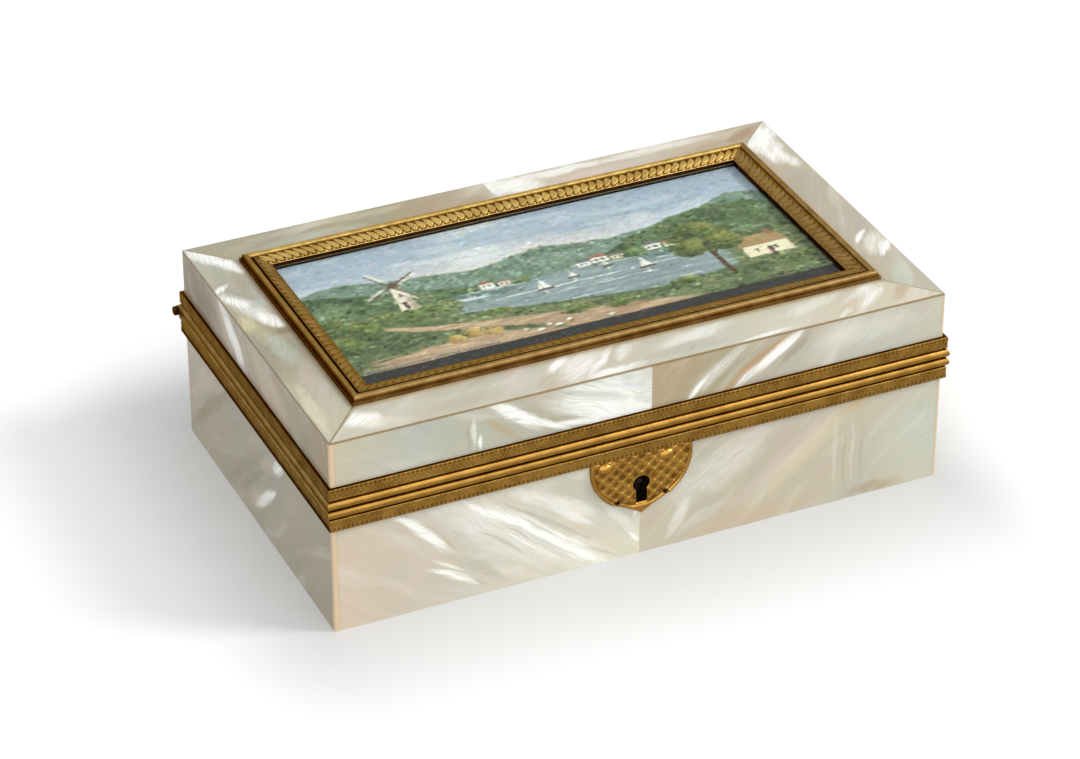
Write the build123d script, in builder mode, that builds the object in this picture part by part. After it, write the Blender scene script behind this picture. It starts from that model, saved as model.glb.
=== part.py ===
"""A small hinged work box: nacre plates on a thin wood carcass, with gilt rims at the closing line.

The origin is the centre of the underside, +Z is up, the lock faces -Y and the hinge lies along +Y.
"""

from build123d import *
import os
from math import acos, cos, degrees, radians, sin

os.makedirs("parts", exist_ok=True)

# Overall sizes of the nacre body, in millimetres
body_width = 165.0
body_depth = 99.0
body_height = 54.0
closing_height = 35.6

# Thickness of each layer of the walls
nacre_thickness = 1.5
board_thickness = 3.5
floor_thickness = 3.0
top_board_thickness = 4.0
lining_thickness = 0.5
glue_line = 0.05
arris_radius = 0.35

# Gilt rims along the closing line
closing_gap = 0.1
rim_height = 6.0
rim_flange = 0.9
band_proud = 0.8
band_height = 3.3
bead_diameter = 2.4
bead_root = 0.25

# Where the nacre plates of the long sides meet
base_front_joint = -1.2
lid_front_joint = 1.6
back_joint = 0.6

# Borders of nacre round the picture frame, on top of the lid
end_border = 11.3
front_border = 12.8
back_border = 11.0

# Picture under glass in the lid, and the moulding of its frame from the outside in
frame_height = 2.2
frame_foot_width = 0.5
frame_foot_height = 0.9
frame_ridge_width = 1.8
frame_ridge_shoulder = 1.45
frame_groove_width = 0.4
frame_groove_height = 1.25
frame_band_width = 3.7
frame_band_start = 1.85
frame_band_end = 0.75
frame_band_crown = 0.15
glass_overlap = 1.5
glass_thickness = 1.2
glass_setback = 0.2
glass_clearance = 0.05
panel_thickness = 1.2
picture_clearance = 0.15

# Hinge along the back
hinge_offset = 1.75
barrel_radius = 1.3
barrel_overhang = 1.5
hinge_pin_radius = 0.6
running_clearance = 0.05
knuckle_count = 7
knuckle_gap = 0.2
cove_clearance = 0.15
pin_head_length = 1.0
pin_head_radius = 1.2
pin_head_round = 0.4
heel_radius = 1.6
heel_height = 1.0
lid_stop_angle = 100.0

# Escutcheon on the front, measured from the rim down and from its middle out
plate_thickness = 0.8
plate_half_width = 13.6
shoulder_half_width = 12.7
shoulder_drop = 7.2
notch_half_width = 7.4
notch_drop = 13.3
notch_step = 0.6
tip_drop = 17.0
tip_sag = 0.3
plate_pin_radius = 0.45
plate_pin_depth = 2.9
plate_pin_inset = 0.8
plate_pin_head = 0.25

# Keyhole through every layer of the front, measured from the rim down
keyhole_drop = 8.6
keyhole_radius = 2.2
keyhole_slot_width = 2.9
keyhole_slot_drop = 5.4

# Lock let into the front board
lock_width = 26.0
lock_drop = 20.0
lock_depth = 2.7
lock_plate_thickness = 0.8
lock_sheet = 0.6
lock_ear = 4.0
bolt_clearance = 0.15
bolt_bar_length = 20.0
bolt_bar_height = 2.6
bolt_tail_width = 8.0
bolt_tail_height = 2.1
bolt_travel = 1.6
finger_width = 1.4
nose_length = 2.0
nose_height = 1.5
talon_width = 3.0
talon_depth = 0.9
stud_radius = 0.7
stud_reach = 7.0
key_pin_radius = 0.7
key_pin_length = 3.6
spring_thickness = 0.25
spring_rise = 0.8
spring_depth = 1.2

# Strike plate in the lid, with two hooks that the bolt catches
strike_length = 22.0
strike_depth = 3.0
hook_spacing = 12.0
hook_width = 1.6
hook_foot = 1.6
hook_foot_height = 1.1
hook_drop = 4.6
hook_thickness = 1.3
hook_clearance = 0.3

# Small countersunk screws of the lock and strike plate
screw_radius = 0.5
screw_length = 3.0
screw_head_radius = 0.9
screw_head_height = 0.5

# Tray that lifts out of the base, and what carries it
tray_seat_height = 20.0
tray_seat_gap = 0.05
tray_clearance = 0.4
tray_height = 13.0
tray_board = 1.5
divider_thickness = 1.2
end_compartment = 36.0
cushion_compartment = 31.0
pad_thickness = 1.0
soft_clearance = 0.3
support_thickness = 2.0
ribbon_width = 8.0
ribbon_thickness = 0.4
ribbon_reach = 6.0
ribbon_rise = 1.8

# Pincushion in the tray and padded silk panel in the lid
cushion_corner = 4.0
cushion_tuck = 1.2
cushion_belly = 0.45
cushion_shoulder = 3.0
cushion_crown_inset = 9.0
cushion_rise = 1.5
lid_pad_thickness = 2.4
lid_pad_edge = 0.9
lid_pad_corner = 2.0
lid_pad_shoulder = 1.5
lid_pad_bevel = 10.0

# Faces and levels that follow from the sizes above
half_width = body_width / 2
half_depth = body_depth / 2
wall = nacre_thickness + board_thickness
inner_half_width = half_width - wall
inner_half_depth = half_depth - wall
carcass_half_width = half_width - nacre_thickness
carcass_half_depth = half_depth - nacre_thickness
base_top = closing_height - closing_gap / 2
lid_bottom = closing_height + closing_gap / 2
base_wall_top = base_top - rim_flange
lid_wall_bottom = lid_bottom + rim_flange
carcass_top = body_height - nacre_thickness
top_board_bottom = carcass_top - top_board_thickness
base_rim_bottom = closing_height - rim_height
keyhole_height = base_rim_bottom - keyhole_drop
lock_x = base_front_joint

# Outward direction of each side of the box
sides = {"front": (0, -1), "back": (0, 1), "left": (-1, 0), "right": (1, 0)}


def save(sub_part, name):
    """Labels a finished piece and writes its file."""
    sub_part.part.label = name
    export_step(sub_part.part, f"parts/{name}.step")


def block(x_limits, y_limits, z_limits, mode=Mode.ADD):
    """Adds or cuts a box given by its limits along each axis."""
    low = Vector(min(x_limits), min(y_limits), min(z_limits))
    high = Vector(max(x_limits), max(y_limits), max(z_limits))
    size = high - low
    with Locations((low + high) / 2):
        Box(size.X, size.Y, size.Z, mode=mode)


def rod(x_limits, radius, y, z, mode=Mode.ADD):
    """Adds or cuts a round bar along X."""
    start, end = x_limits
    with Locations(Location(((start + end) / 2, y, z), (0, 90, 0))):
        Cylinder(radius, abs(end - start), mode=mode)


def keep_side(origin, normal):
    """Splits the piece being built and keeps what lies on the side of the normal."""
    split(bisect_by=Plane(origin=origin, z_dir=normal), keep=Keep.TOP)


def mitre_ends(outward, reach_x=half_width, reach_y=half_depth, shift_y=0.0):
    """Cuts both ends of one side of a rectangle at 45 degrees on its corners."""
    for turn in (-1, 1):
        side_x = outward[0] or turn
        side_y = outward[1] or turn
        corner = (side_x * reach_x, shift_y + side_y * reach_y, 0)
        if outward[0]:
            keep_side(corner, (side_x, -side_y, 0))
        else:
            keep_side(corner, (-side_x, side_y, 0))


def mitre_top(outward, above):
    """Cuts a lid plate at 45 degrees along the upper edge of one side."""
    edge = (outward[0] * half_width, outward[1] * half_depth, body_height)
    if above:
        keep_side(edge, (-outward[0], -outward[1], 1))
        keep_side((0, frame_shift, 0), (outward[0], outward[1], 0))
    else:
        keep_side(edge, (outward[0], outward[1], -1))


def cut_joint(x):
    """Parts the back of the box into two plates with a glue line between them."""
    block(
        (x - glue_line / 2, x + glue_line / 2),
        (0, half_depth),
        (0, body_height),
        Mode.SUBTRACT,
    )


def wall_ring(half_x, half_y, thickness, z_limits):
    """Four upright boards round a rectangle: two run its full length, two fit between them."""
    for side in (-1, 1):
        block((-half_x, half_x), (side * half_y, side * (half_y - thickness)), z_limits)
        reach = half_y - thickness - glue_line
        block((side * half_x, side * (half_x - thickness)), (-reach, reach), z_limits)


def side_plane(outward, face_x, face_y, z):
    """A plane across one side of a rectangle, its x axis pointing out and its y axis up."""
    out = Vector(outward[0], outward[1], 0)
    origin = (outward[0] * face_x, outward[1] * face_y, z)
    return Plane(origin=origin, x_dir=out, z_dir=out.cross(Vector(0, 0, 1)))


# Picture well in the top of the lid: the frame overlaps it, the glass and the panel fill it
frame_length = body_width - 2 * end_border
frame_depth = body_depth - front_border - back_border
frame_shift = (front_border - back_border) / 2
frame_width = (
    frame_foot_width + frame_ridge_width + frame_groove_width + frame_band_width
)
well_half_length = frame_length / 2 - frame_width + glass_overlap
well_half_depth = frame_depth / 2 - frame_width + glass_overlap
glass_top = body_height - glass_setback
glass_bottom = glass_top - glass_thickness
panel_bottom = glass_bottom - panel_thickness


def picture_block(bottom, top, clearance=0.0, mode=Mode.ADD):
    """A rectangle as large as the picture well, less a clearance."""
    reach_x = well_half_length - clearance
    reach_y = well_half_depth - clearance
    y_limits = (frame_shift - reach_y, frame_shift + reach_y)
    block((-reach_x, reach_x), y_limits, (bottom, top), mode)


# Front of the box as a drawing plane: x along the front, y up, outward normal
front_plane = Plane(origin=(lock_x, -half_depth, 0), x_dir=(1, 0, 0), z_dir=(0, -1, 0))
notch_height = base_rim_bottom - notch_drop
pin_x = notch_half_width - plate_pin_inset
pin_height = notch_height + plate_pin_inset


def cut_keyhole(proud, depth):
    """Cuts the keyhole from in front of the nacre face to a depth behind it."""
    with BuildSketch(front_plane.offset(proud)) as keyhole:
        with Locations((0, keyhole_height)):
            Circle(keyhole_radius)
        with Locations((0, keyhole_height - keyhole_slot_drop / 2)):
            Rectangle(keyhole_slot_width, keyhole_slot_drop)
    extrude(keyhole.sketch, amount=-(proud + depth), mode=Mode.SUBTRACT)


def cut_pin_holes(proud, depth):
    """Cuts the holes of the escutcheon pins from in front of the nacre face to a depth behind it."""
    with BuildSketch(front_plane.offset(proud)) as pin_holes:
        with Locations((-pin_x, pin_height), (pin_x, pin_height)):
            Circle(plate_pin_radius)
    extrude(pin_holes.sketch, amount=-(proud + depth), mode=Mode.SUBTRACT)


# Nacre shells of the base and the lid, cut below into the plates that they are made of
with BuildPart() as base_shell:
    block((-half_width, half_width), (-half_depth, half_depth), (0, base_wall_top))
    fillet(base_shell.edges().filter_by(Axis.Z), arris_radius)
    block(
        (-carcass_half_width, carcass_half_width),
        (-carcass_half_depth, carcass_half_depth),
        (0, base_wall_top),
        Mode.SUBTRACT,
    )
    cut_keyhole(plate_thickness, nacre_thickness)
    cut_pin_holes(plate_thickness, nacre_thickness)

with BuildPart() as lid_shell:
    block((-half_width, half_width), (-half_depth, half_depth), (lid_wall_bottom, body_height))
    upright_edges = lid_shell.edges().filter_by(Axis.Z)
    top_edges = lid_shell.faces().sort_by(Axis.Z)[-1].edges()
    fillet(upright_edges + top_edges, arris_radius)
    block(
        (-carcass_half_width, carcass_half_width),
        (-carcass_half_depth, carcass_half_depth),
        (lid_wall_bottom, carcass_top),
        Mode.SUBTRACT,
    )
    picture_block(carcass_top, body_height, mode=Mode.SUBTRACT)

# Plates of the base: two meet on the front and the back, one covers each end
for name, side in (("left", -1), ("right", 1)):
    with BuildPart() as front_plate:
        add(base_shell.part)
        mitre_ends(sides["front"])
        keep_side((base_front_joint, 0, 0), (side, 0, 0))
    save(front_plate, f"base_nacre_front_{name}")

    with BuildPart() as end_plate:
        add(base_shell.part)
        mitre_ends(sides[name])
    save(end_plate, f"base_nacre_{name}")

with BuildPart() as base_back_plates:
    add(base_shell.part)
    mitre_ends(sides["back"])
    cut_joint(back_joint)
save(base_back_plates, "base_nacre_back")

# Plates of the lid: uprights mitred under the border plates that surround the picture
for name, side in (("left", -1), ("right", 1)):
    with BuildPart() as front_plate:
        add(lid_shell.part)
        mitre_ends(sides["front"])
        mitre_top(sides["front"], above=False)
        keep_side((lid_front_joint, 0, 0), (side, 0, 0))
    save(front_plate, f"lid_nacre_front_{name}")

    with BuildPart() as end_plate:
        add(lid_shell.part)
        mitre_ends(sides[name])
        mitre_top(sides[name], above=False)
    save(end_plate, f"lid_nacre_{name}")

    with BuildPart() as front_border:
        add(lid_shell.part)
        mitre_ends(sides["front"])
        mitre_top(sides["front"], above=True)
        keep_side((lid_front_joint, 0, 0), (side, 0, 0))
    save(front_border, f"border_front_{name}")

    with BuildPart() as back_border:
        add(lid_shell.part)
        mitre_ends(sides["back"])
        mitre_top(sides["back"], above=True)
        keep_side((back_joint, 0, 0), (side, 0, 0))
    save(back_border, f"border_back_{name}")

    with BuildPart() as end_border:
        add(lid_shell.part)
        mitre_ends(sides[name])
        mitre_top(sides[name], above=True)
    save(end_border, f"border_{name}")

with BuildPart() as lid_back_plates:
    add(lid_shell.part)
    mitre_ends(sides["back"])
    mitre_top(sides["back"], above=False)
    cut_joint(back_joint)
save(lid_back_plates, "lid_nacre_back")

# Screw with a countersunk head: the head's face is at the origin and the shank runs down
with BuildPart() as screw:
    Cylinder(screw_radius, screw_length, align=(Align.CENTER, Align.CENTER, Align.MAX))
    Cone(
        screw_radius,
        screw_head_radius,
        screw_head_height,
        align=(Align.CENTER, Align.CENTER, Align.MAX),
    )

# Lock position: its pocket opens to the inside of the front board, under the rim
lock_left = lock_x - lock_width / 2
lock_right = lock_x + lock_width / 2
lock_bottom = base_wall_top - lock_drop
board_inner_face = -inner_half_depth
lock_front = board_inner_face - lock_depth
lock_plate_front = board_inner_face - lock_plate_thickness
ear_left = lock_left - lock_ear
ear_right = lock_right + lock_ear
ear_height = (lock_bottom + base_wall_top) / 2
ear_screws = [
    Plane(origin=(x, board_inner_face, ear_height), z_dir=(0, 1, 0))
    for x in (lock_left - lock_ear / 2, lock_right + lock_ear / 2)
]

# Wood carcass of the base
with BuildPart() as floor_board:
    block(
        (-inner_half_width, inner_half_width),
        (-inner_half_depth, inner_half_depth),
        (0, floor_thickness),
    )
save(floor_board, "base_board_floor")

with BuildPart() as front_board:
    block(
        (-carcass_half_width, carcass_half_width),
        (-carcass_half_depth, -inner_half_depth),
        (0, base_wall_top),
    )
    lock_heights = (lock_bottom, base_wall_top)
    block((lock_left, lock_right), (lock_front, board_inner_face), lock_heights, Mode.SUBTRACT)
    block((ear_left, ear_right), (lock_plate_front, board_inner_face), lock_heights, Mode.SUBTRACT)
    cut_keyhole(0, wall)
    cut_pin_holes(0, plate_pin_depth - plate_thickness)
    with Locations(*ear_screws):
        add(screw.part, mode=Mode.SUBTRACT)
save(front_board, "base_board_front")

with BuildPart() as back_board:
    block(
        (-carcass_half_width, carcass_half_width),
        (inner_half_depth, carcass_half_depth),
        (0, base_wall_top),
    )
save(back_board, "base_board_back")

for name, side in (("left", -1), ("right", 1)):
    with BuildPart() as end_board:
        block(
            (side * inner_half_width, side * carcass_half_width),
            (-inner_half_depth, inner_half_depth),
            (0, base_wall_top),
        )
    save(end_board, f"base_board_{name}")

# Strike plate position in the lid's front rim
strike_y = -inner_half_depth - board_thickness / 2
strike_limits_x = (lock_x - strike_length / 2, lock_x + strike_length / 2)
strike_limits_y = (strike_y - strike_depth / 2, strike_y + strike_depth / 2)
strike_screw_reach = strike_length / 2 - 2 * screw_head_radius
strike_screws_at = [
    Plane(origin=(lock_x + reach, strike_y, lid_bottom), z_dir=(0, 0, -1))
    for reach in (-strike_screw_reach, strike_screw_reach)
]

# Wood carcass of the lid
with BuildPart() as top_board:
    block(
        (-carcass_half_width, carcass_half_width),
        (-carcass_half_depth, carcass_half_depth),
        (top_board_bottom, carcass_top),
    )
    picture_block(panel_bottom, carcass_top, mode=Mode.SUBTRACT)
save(top_board, "lid_board_top")

with BuildPart() as lid_side_boards:
    wall_ring(
        carcass_half_width,
        carcass_half_depth,
        board_thickness,
        (lid_wall_bottom, top_board_bottom),
    )
    with Locations(*strike_screws_at):
        add(screw.part, mode=Mode.SUBTRACT)
save(lid_side_boards, "lid_board_sides")


def rim_outline(up, with_bead):
    """Section of a rim from the closing line: flange over the wall, bead, groove and band."""
    near = up * closing_gap / 2
    flange = near + up * rim_flange
    bead_end = near + up * bead_diameter
    band_start = up * (rim_height - band_height)
    band_end = up * rim_height
    with BuildLine() as outline:
        if with_bead:
            ThreePointArc(
                (bead_root, near),
                (bead_root + bead_diameter / 2, (near + bead_end) / 2),
                (bead_root, bead_end),
            )
        else:
            Line((bead_root, near), (bead_root, bead_end))
        Polyline(
            (bead_root, bead_end),
            (bead_root, band_start),
            (band_proud, band_start),
            (band_proud, band_end),
            (0, band_end),
            (0, flange),
            (-wall, flange),
            (-wall, near),
            (bead_root, near),
        )
    return outline.edges()


# Hinge axis, behind the back of the box at the closing line
hinge_y = half_depth + hinge_offset
barrel_reach = half_width + barrel_overhang
knuckle_pitch = 2 * barrel_reach / knuckle_count
hook_centres = (lock_x - hook_spacing / 2, lock_x + hook_spacing / 2)
hook_limits_y = (strike_y - hook_thickness / 2, strike_y + hook_thickness / 2)

# Rims: mitred at the corners, without a bead along the back, where the hinge takes its place
for body, up in (("base", -1), ("lid", 1)):
    for name, outward in sides.items():
        with BuildPart() as rim:
            with BuildSketch(side_plane(outward, half_width, half_depth, closing_height)):
                make_face(rim_outline(up, with_bead=name != "back"))
            extrude(amount=body_width, both=True)
            mitre_ends(outward)
            if name in ("left", "right"):
                band_back = half_depth + band_proud
                beyond = (band_back, band_back + bead_diameter)
                heights = (closing_height - rim_height, closing_height + rim_height)
                block((-body_width, body_width), beyond, heights, Mode.SUBTRACT)
                cove = barrel_radius + cove_clearance
                rod((-body_width, body_width), cove, hinge_y, closing_height, Mode.SUBTRACT)
            if (body, name) == ("base", "front"):
                for centre in hook_centres:
                    slot = (
                        centre - hook_foot - hook_clearance,
                        centre + hook_width + hook_clearance,
                    )
                    slot_y = (
                        hook_limits_y[0] - hook_clearance,
                        hook_limits_y[1] + hook_clearance,
                    )
                    block(slot, slot_y, (base_wall_top, base_top), Mode.SUBTRACT)
            if (body, name) == ("lid", "front"):
                pocket = (lid_bottom, lid_wall_bottom)
                block(strike_limits_x, strike_limits_y, pocket, Mode.SUBTRACT)
        save(rim, f"{body}_rim_{name}")

# Hinge leaves: a strip behind each rim with every other knuckle of the barrel
knuckle_spans = []
for index in range(knuckle_count):
    start = -barrel_reach + index * knuckle_pitch
    knuckle_spans.append((start + knuckle_gap / 2, start + knuckle_pitch - knuckle_gap / 2))

contact_x = (hinge_offset - band_proud) / heel_radius
heel_angle = radians(180 - degrees(acos(contact_x)) - lid_stop_angle)
heel_y = hinge_y + heel_radius * cos(heel_angle)
heel_bottom = closing_height - heel_radius * sin(heel_angle)

for body, up, spans, other_spans in (
    ("base", -1, knuckle_spans[0::2], knuckle_spans[1::2]),
    ("lid", 1, knuckle_spans[1::2], knuckle_spans[0::2]),
):
    near = closing_height + up * closing_gap / 2
    with BuildPart() as leaf:
        block(
            (-half_width, half_width),
            (half_depth + bead_root, half_depth + band_proud),
            (near, closing_height + up * (rim_height - band_height)),
        )
        cove = barrel_radius + cove_clearance
        for start, end in other_spans:
            limits = (start - knuckle_gap, end + knuckle_gap)
            rod(limits, cove, hinge_y, closing_height, Mode.SUBTRACT)
        for span in spans:
            rod(span, barrel_radius, hinge_y, closing_height)
            web_start = max(span[0], -half_width)
            web_end = min(span[1], half_width)
            block(
                (web_start, web_end),
                (half_depth + bead_root, hinge_y),
                (near, closing_height + up * barrel_radius),
            )
            if body == "lid":
                block(span, (hinge_y, heel_y), (heel_bottom, heel_bottom + heel_height))
        bore = hinge_pin_radius + running_clearance
        rod((-body_width, body_width), bore, hinge_y, closing_height, Mode.SUBTRACT)
    save(leaf, f"{body}_hinge_leaf")

with BuildPart() as hinge_pin:
    pin_end = barrel_reach + running_clearance
    for side in (-1, 1):
        head = (side * pin_end, side * (pin_end + pin_head_length))
        rod(head, pin_head_radius, hinge_y, closing_height)
    head_edges = hinge_pin.edges().group_by(Axis.X)
    fillet(head_edges[0] + head_edges[-1], pin_head_round)
    rod((-pin_end, pin_end), hinge_pin_radius, hinge_y, closing_height)
save(hinge_pin, "hinge_pin")

# Escutcheon: a shield under the front rim, with the keyhole and two pins
tip_height = base_rim_bottom - tip_drop
with BuildPart() as escutcheon:
    with BuildSketch(front_plane):
        with BuildLine():
            for turn in (-1, 1):
                ThreePointArc(
                    (turn * plate_half_width, base_rim_bottom),
                    (turn * shoulder_half_width, base_rim_bottom - shoulder_drop),
                    (turn * notch_half_width, notch_height),
                )
                Line(
                    (turn * notch_half_width, notch_height),
                    (turn * (notch_half_width - notch_step), notch_height),
                )
                ThreePointArc(
                    (turn * (notch_half_width - notch_step), notch_height),
                    (turn * notch_half_width / 2, (notch_height + tip_height) / 2 + tip_sag),
                    (0, tip_height),
                )
            Line((-plate_half_width, base_rim_bottom), (plate_half_width, base_rim_bottom))
        make_face()
    extrude(amount=plate_thickness)
    cut_keyhole(plate_thickness, 0)
    cut_pin_holes(plate_thickness, 0)
save(escutcheon, "escutcheon")

with BuildPart() as escutcheon_pins:
    with BuildSketch(front_plane.offset(plate_thickness)):
        with Locations((-pin_x, pin_height), (pin_x, pin_height)):
            Circle(plate_pin_radius)
    extrude(amount=-plate_pin_depth)
    with BuildSketch(front_plane.offset(plate_thickness)):
        with Locations((-pin_x, pin_height), (pin_x, pin_height)):
            Circle(plate_pin_radius + plate_pin_head)
    extrude(amount=plate_pin_head)
save(escutcheon_pins, "escutcheon_pins")

# Lock: a shallow brass case, open to the front, whose plate is let in flush with the board
lock_floor = lock_bottom + lock_sheet
bolt_front = lock_front + bolt_clearance
bolt_back = lock_plate_front - bolt_clearance
hook_bottom = lid_bottom - hook_drop
bar_top = hook_bottom - hook_clearance
bar_bottom = bar_top - bolt_bar_height
stud_height = (bar_top + bar_bottom) / 2
bolt_layer = (bolt_front, bolt_back)

with BuildPart() as lock_case:
    block((ear_left, ear_right), (lock_plate_front, board_inner_face), (lock_bottom, base_wall_top))
    block((lock_left, lock_right), (lock_front, lock_plate_front), (lock_bottom, base_wall_top))
    block(
        (lock_left + lock_sheet, lock_right - lock_sheet),
        (lock_front, lock_plate_front),
        (lock_floor, base_wall_top),
        Mode.SUBTRACT,
    )
    for side in (-1, 1):
        stud_plane = Plane(
            origin=(lock_x + side * stud_reach, lock_plate_front, stud_height),
            z_dir=(0, -1, 0),
        )
        with BuildSketch(stud_plane):
            Circle(stud_radius)
        extrude(amount=lock_plate_front - lock_front)
    with BuildSketch(Plane(origin=(lock_x, board_inner_face, keyhole_height), z_dir=(0, -1, 0))):
        Circle(key_pin_radius)
    extrude(amount=lock_plate_thickness, mode=Mode.SUBTRACT)
    with Locations(*ear_screws):
        add(screw.part, mode=Mode.SUBTRACT)
save(lock_case, "lock_case")

with BuildPart() as key_pin:
    with BuildSketch(Plane(origin=(lock_x, board_inner_face, keyhole_height), z_dir=(0, -1, 0))):
        Circle(key_pin_radius)
    extrude(amount=lock_plate_thickness + key_pin_length)
save(key_pin, "key_pin")

with BuildPart() as lock_screws:
    with Locations(*ear_screws):
        add(screw.part)
save(lock_screws, "lock_screws")

# Bolt: a bar on two studs, with a tail for the key and a finger for each hook
foot_top = hook_bottom + hook_foot_height
nose_bottom = foot_top + hook_clearance / 2
nose_top = nose_bottom + nose_height
with BuildPart() as lock_bolt:
    first_post = hook_centres[0] - hook_foot - hook_clearance / 2 - nose_length - finger_width
    block((first_post, first_post + bolt_bar_length), bolt_layer, (bar_bottom, bar_top))
    tail = (lock_x - bolt_tail_width / 2, lock_x + bolt_tail_width / 2)
    block(tail, bolt_layer, (bar_bottom - bolt_tail_height, bar_bottom))
    talon = (lock_x - talon_width / 2, lock_x + talon_width / 2)
    talon_bottom = bar_bottom - bolt_tail_height
    block(talon, bolt_layer, (talon_bottom, talon_bottom + talon_depth), Mode.SUBTRACT)
    for centre in hook_centres:
        nose_tip = centre - hook_foot - hook_clearance / 2
        post_right = nose_tip - nose_length
        block((post_right - finger_width, post_right), bolt_layer, (bar_top, nose_top))
        block((post_right, nose_tip), bolt_layer, (nose_bottom, nose_top))
    for side in (-1, 1):
        slot_plane = Plane(
            origin=(lock_x + side * stud_reach - bolt_travel / 2, bolt_back, stud_height),
            x_dir=(1, 0, 0),
            z_dir=(0, -1, 0),
        )
        with BuildSketch(slot_plane):
            SlotCenterToCenter(bolt_travel, 2 * (stud_radius + running_clearance))
        extrude(amount=bolt_back - bolt_front, mode=Mode.SUBTRACT)
save(lock_bolt, "lock_bolt")

with BuildPart() as lock_spring:
    spring_left = lock_left + lock_sheet
    spring_right = lock_x - bolt_tail_width / 2 - soft_clearance
    spring_top = bar_bottom - bolt_clearance
    spring_middle = (spring_left + spring_right) / 2
    spring_plane = Plane(
        origin=(0, (lock_front + lock_plate_front) / 2, 0),
        x_dir=(1, 0, 0),
        z_dir=(0, -1, 0),
    )
    with BuildSketch(spring_plane):
        with BuildLine():
            for level in (spring_top, spring_top - spring_thickness):
                ThreePointArc(
                    (spring_left, level - spring_rise),
                    (spring_middle, level),
                    (spring_right, level - spring_rise),
                )
            for end in (spring_left, spring_right):
                Line(
                    (end, spring_top - spring_rise),
                    (end, spring_top - spring_rise - spring_thickness),
                )
        make_face()
    extrude(amount=spring_depth / 2, both=True)
save(lock_spring, "lock_spring")

# Strike plate with its two hooks, flush in the lid's rim
with BuildPart() as strike_plate:
    block(strike_limits_x, strike_limits_y, (lid_bottom, lid_wall_bottom))
    for centre in hook_centres:
        block((centre, centre + hook_width), hook_limits_y, (hook_bottom, lid_bottom))
        block((centre - hook_foot, centre), hook_limits_y, (hook_bottom, foot_top))
    with Locations(*strike_screws_at):
        add(screw.part, mode=Mode.SUBTRACT)
save(strike_plate, "strike_plate")

with BuildPart() as strike_screws:
    with Locations(*strike_screws_at):
        add(screw.part)
save(strike_screws, "strike_screws")


def frame_outline():
    """Moulding of the picture frame from its outer edge in: foot, ridge, groove and a band that
    slopes down to the glass."""
    ridge_start = frame_foot_width
    ridge_end = ridge_start + frame_ridge_width
    band_start = ridge_end + frame_groove_width
    band_middle = (band_start + frame_width) / 2
    band_crest = (frame_band_start + frame_band_end) / 2 + frame_band_crown
    lip_start = frame_width - glass_overlap
    lip_bottom = glass_clearance - glass_setback
    with BuildLine() as outline:
        Polyline(
            (lip_start, 0),
            (0, 0),
            (0, frame_foot_height),
            (ridge_start, frame_foot_height),
            (ridge_start, frame_ridge_shoulder),
        )
        ThreePointArc(
            (ridge_start, frame_ridge_shoulder),
            ((ridge_start + ridge_end) / 2, frame_height),
            (ridge_end, frame_ridge_shoulder),
        )
        Polyline(
            (ridge_end, frame_ridge_shoulder),
            (ridge_end, frame_groove_height),
            (band_start, frame_groove_height),
            (band_start, frame_band_start),
        )
        ThreePointArc(
            (band_start, frame_band_start),
            (band_middle, band_crest),
            (frame_width, frame_band_end),
        )
        Polyline(
            (frame_width, frame_band_end),
            (frame_width, lip_bottom),
            (lip_start, lip_bottom),
            (lip_start, 0),
        )
    return outline.edges()


# Picture frame: four mitred lengths over the edge of the picture well
for name, outward in sides.items():
    with BuildPart() as frame_side:
        inward = (-outward[0], -outward[1])
        frame_plane = Plane(
            origin=(
                outward[0] * frame_length / 2,
                frame_shift + outward[1] * frame_depth / 2,
                body_height,
            ),
            x_dir=(inward[0], inward[1], 0),
            z_dir=Vector(inward[0], inward[1], 0).cross(Vector(0, 0, 1)),
        )
        with BuildSketch(frame_plane):
            make_face(frame_outline())
        extrude(amount=body_width, both=True)
        mitre_ends(outward, frame_length / 2, frame_depth / 2, frame_shift)
    save(frame_side, f"picture_frame_{name}")

with BuildPart() as picture_glass:
    picture_block(glass_bottom, glass_top, picture_clearance)
save(picture_glass, "picture_glass")

with BuildPart() as picture_panel:
    picture_block(panel_bottom, glass_bottom, picture_clearance)
save(picture_panel, "picture_panel")

# Silk linings pasted inside the base and the lid
lined_half_width = inner_half_width - lining_thickness
lined_half_depth = inner_half_depth - lining_thickness
lined_floor = floor_thickness + lining_thickness
with BuildPart() as base_lining:
    wall_ring(
        inner_half_width,
        inner_half_depth,
        lining_thickness,
        (floor_thickness, base_wall_top),
    )
    floor_x = lined_half_width - glue_line
    floor_y = lined_half_depth - glue_line
    block((-floor_x, floor_x), (-floor_y, floor_y), (floor_thickness, lined_floor))
save(base_lining, "base_lining")

with BuildPart() as lid_lining:
    wall_ring(
        inner_half_width,
        inner_half_depth,
        lining_thickness,
        (lid_wall_bottom, top_board_bottom),
    )
save(lid_lining, "lid_lining")

with BuildPart() as tray_supports:
    wall_ring(lined_half_width, lined_half_depth, support_thickness, (lined_floor, tray_seat_height))
save(tray_supports, "tray_supports")


def crowned_pad(half_x, half_y, centre_y, steps, corner):
    """A pad lofted through rounded rectangles, each a height and how far its sides draw in."""
    sections = []
    for height, inset in steps:
        with BuildSketch(Plane.XY.offset(height)) as section:
            with Locations((0, centre_y)):
                RectangleRounded(2 * (half_x - inset), 2 * (half_y - inset), corner)
        sections.append(section.sketch)
    loft(sections)


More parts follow.
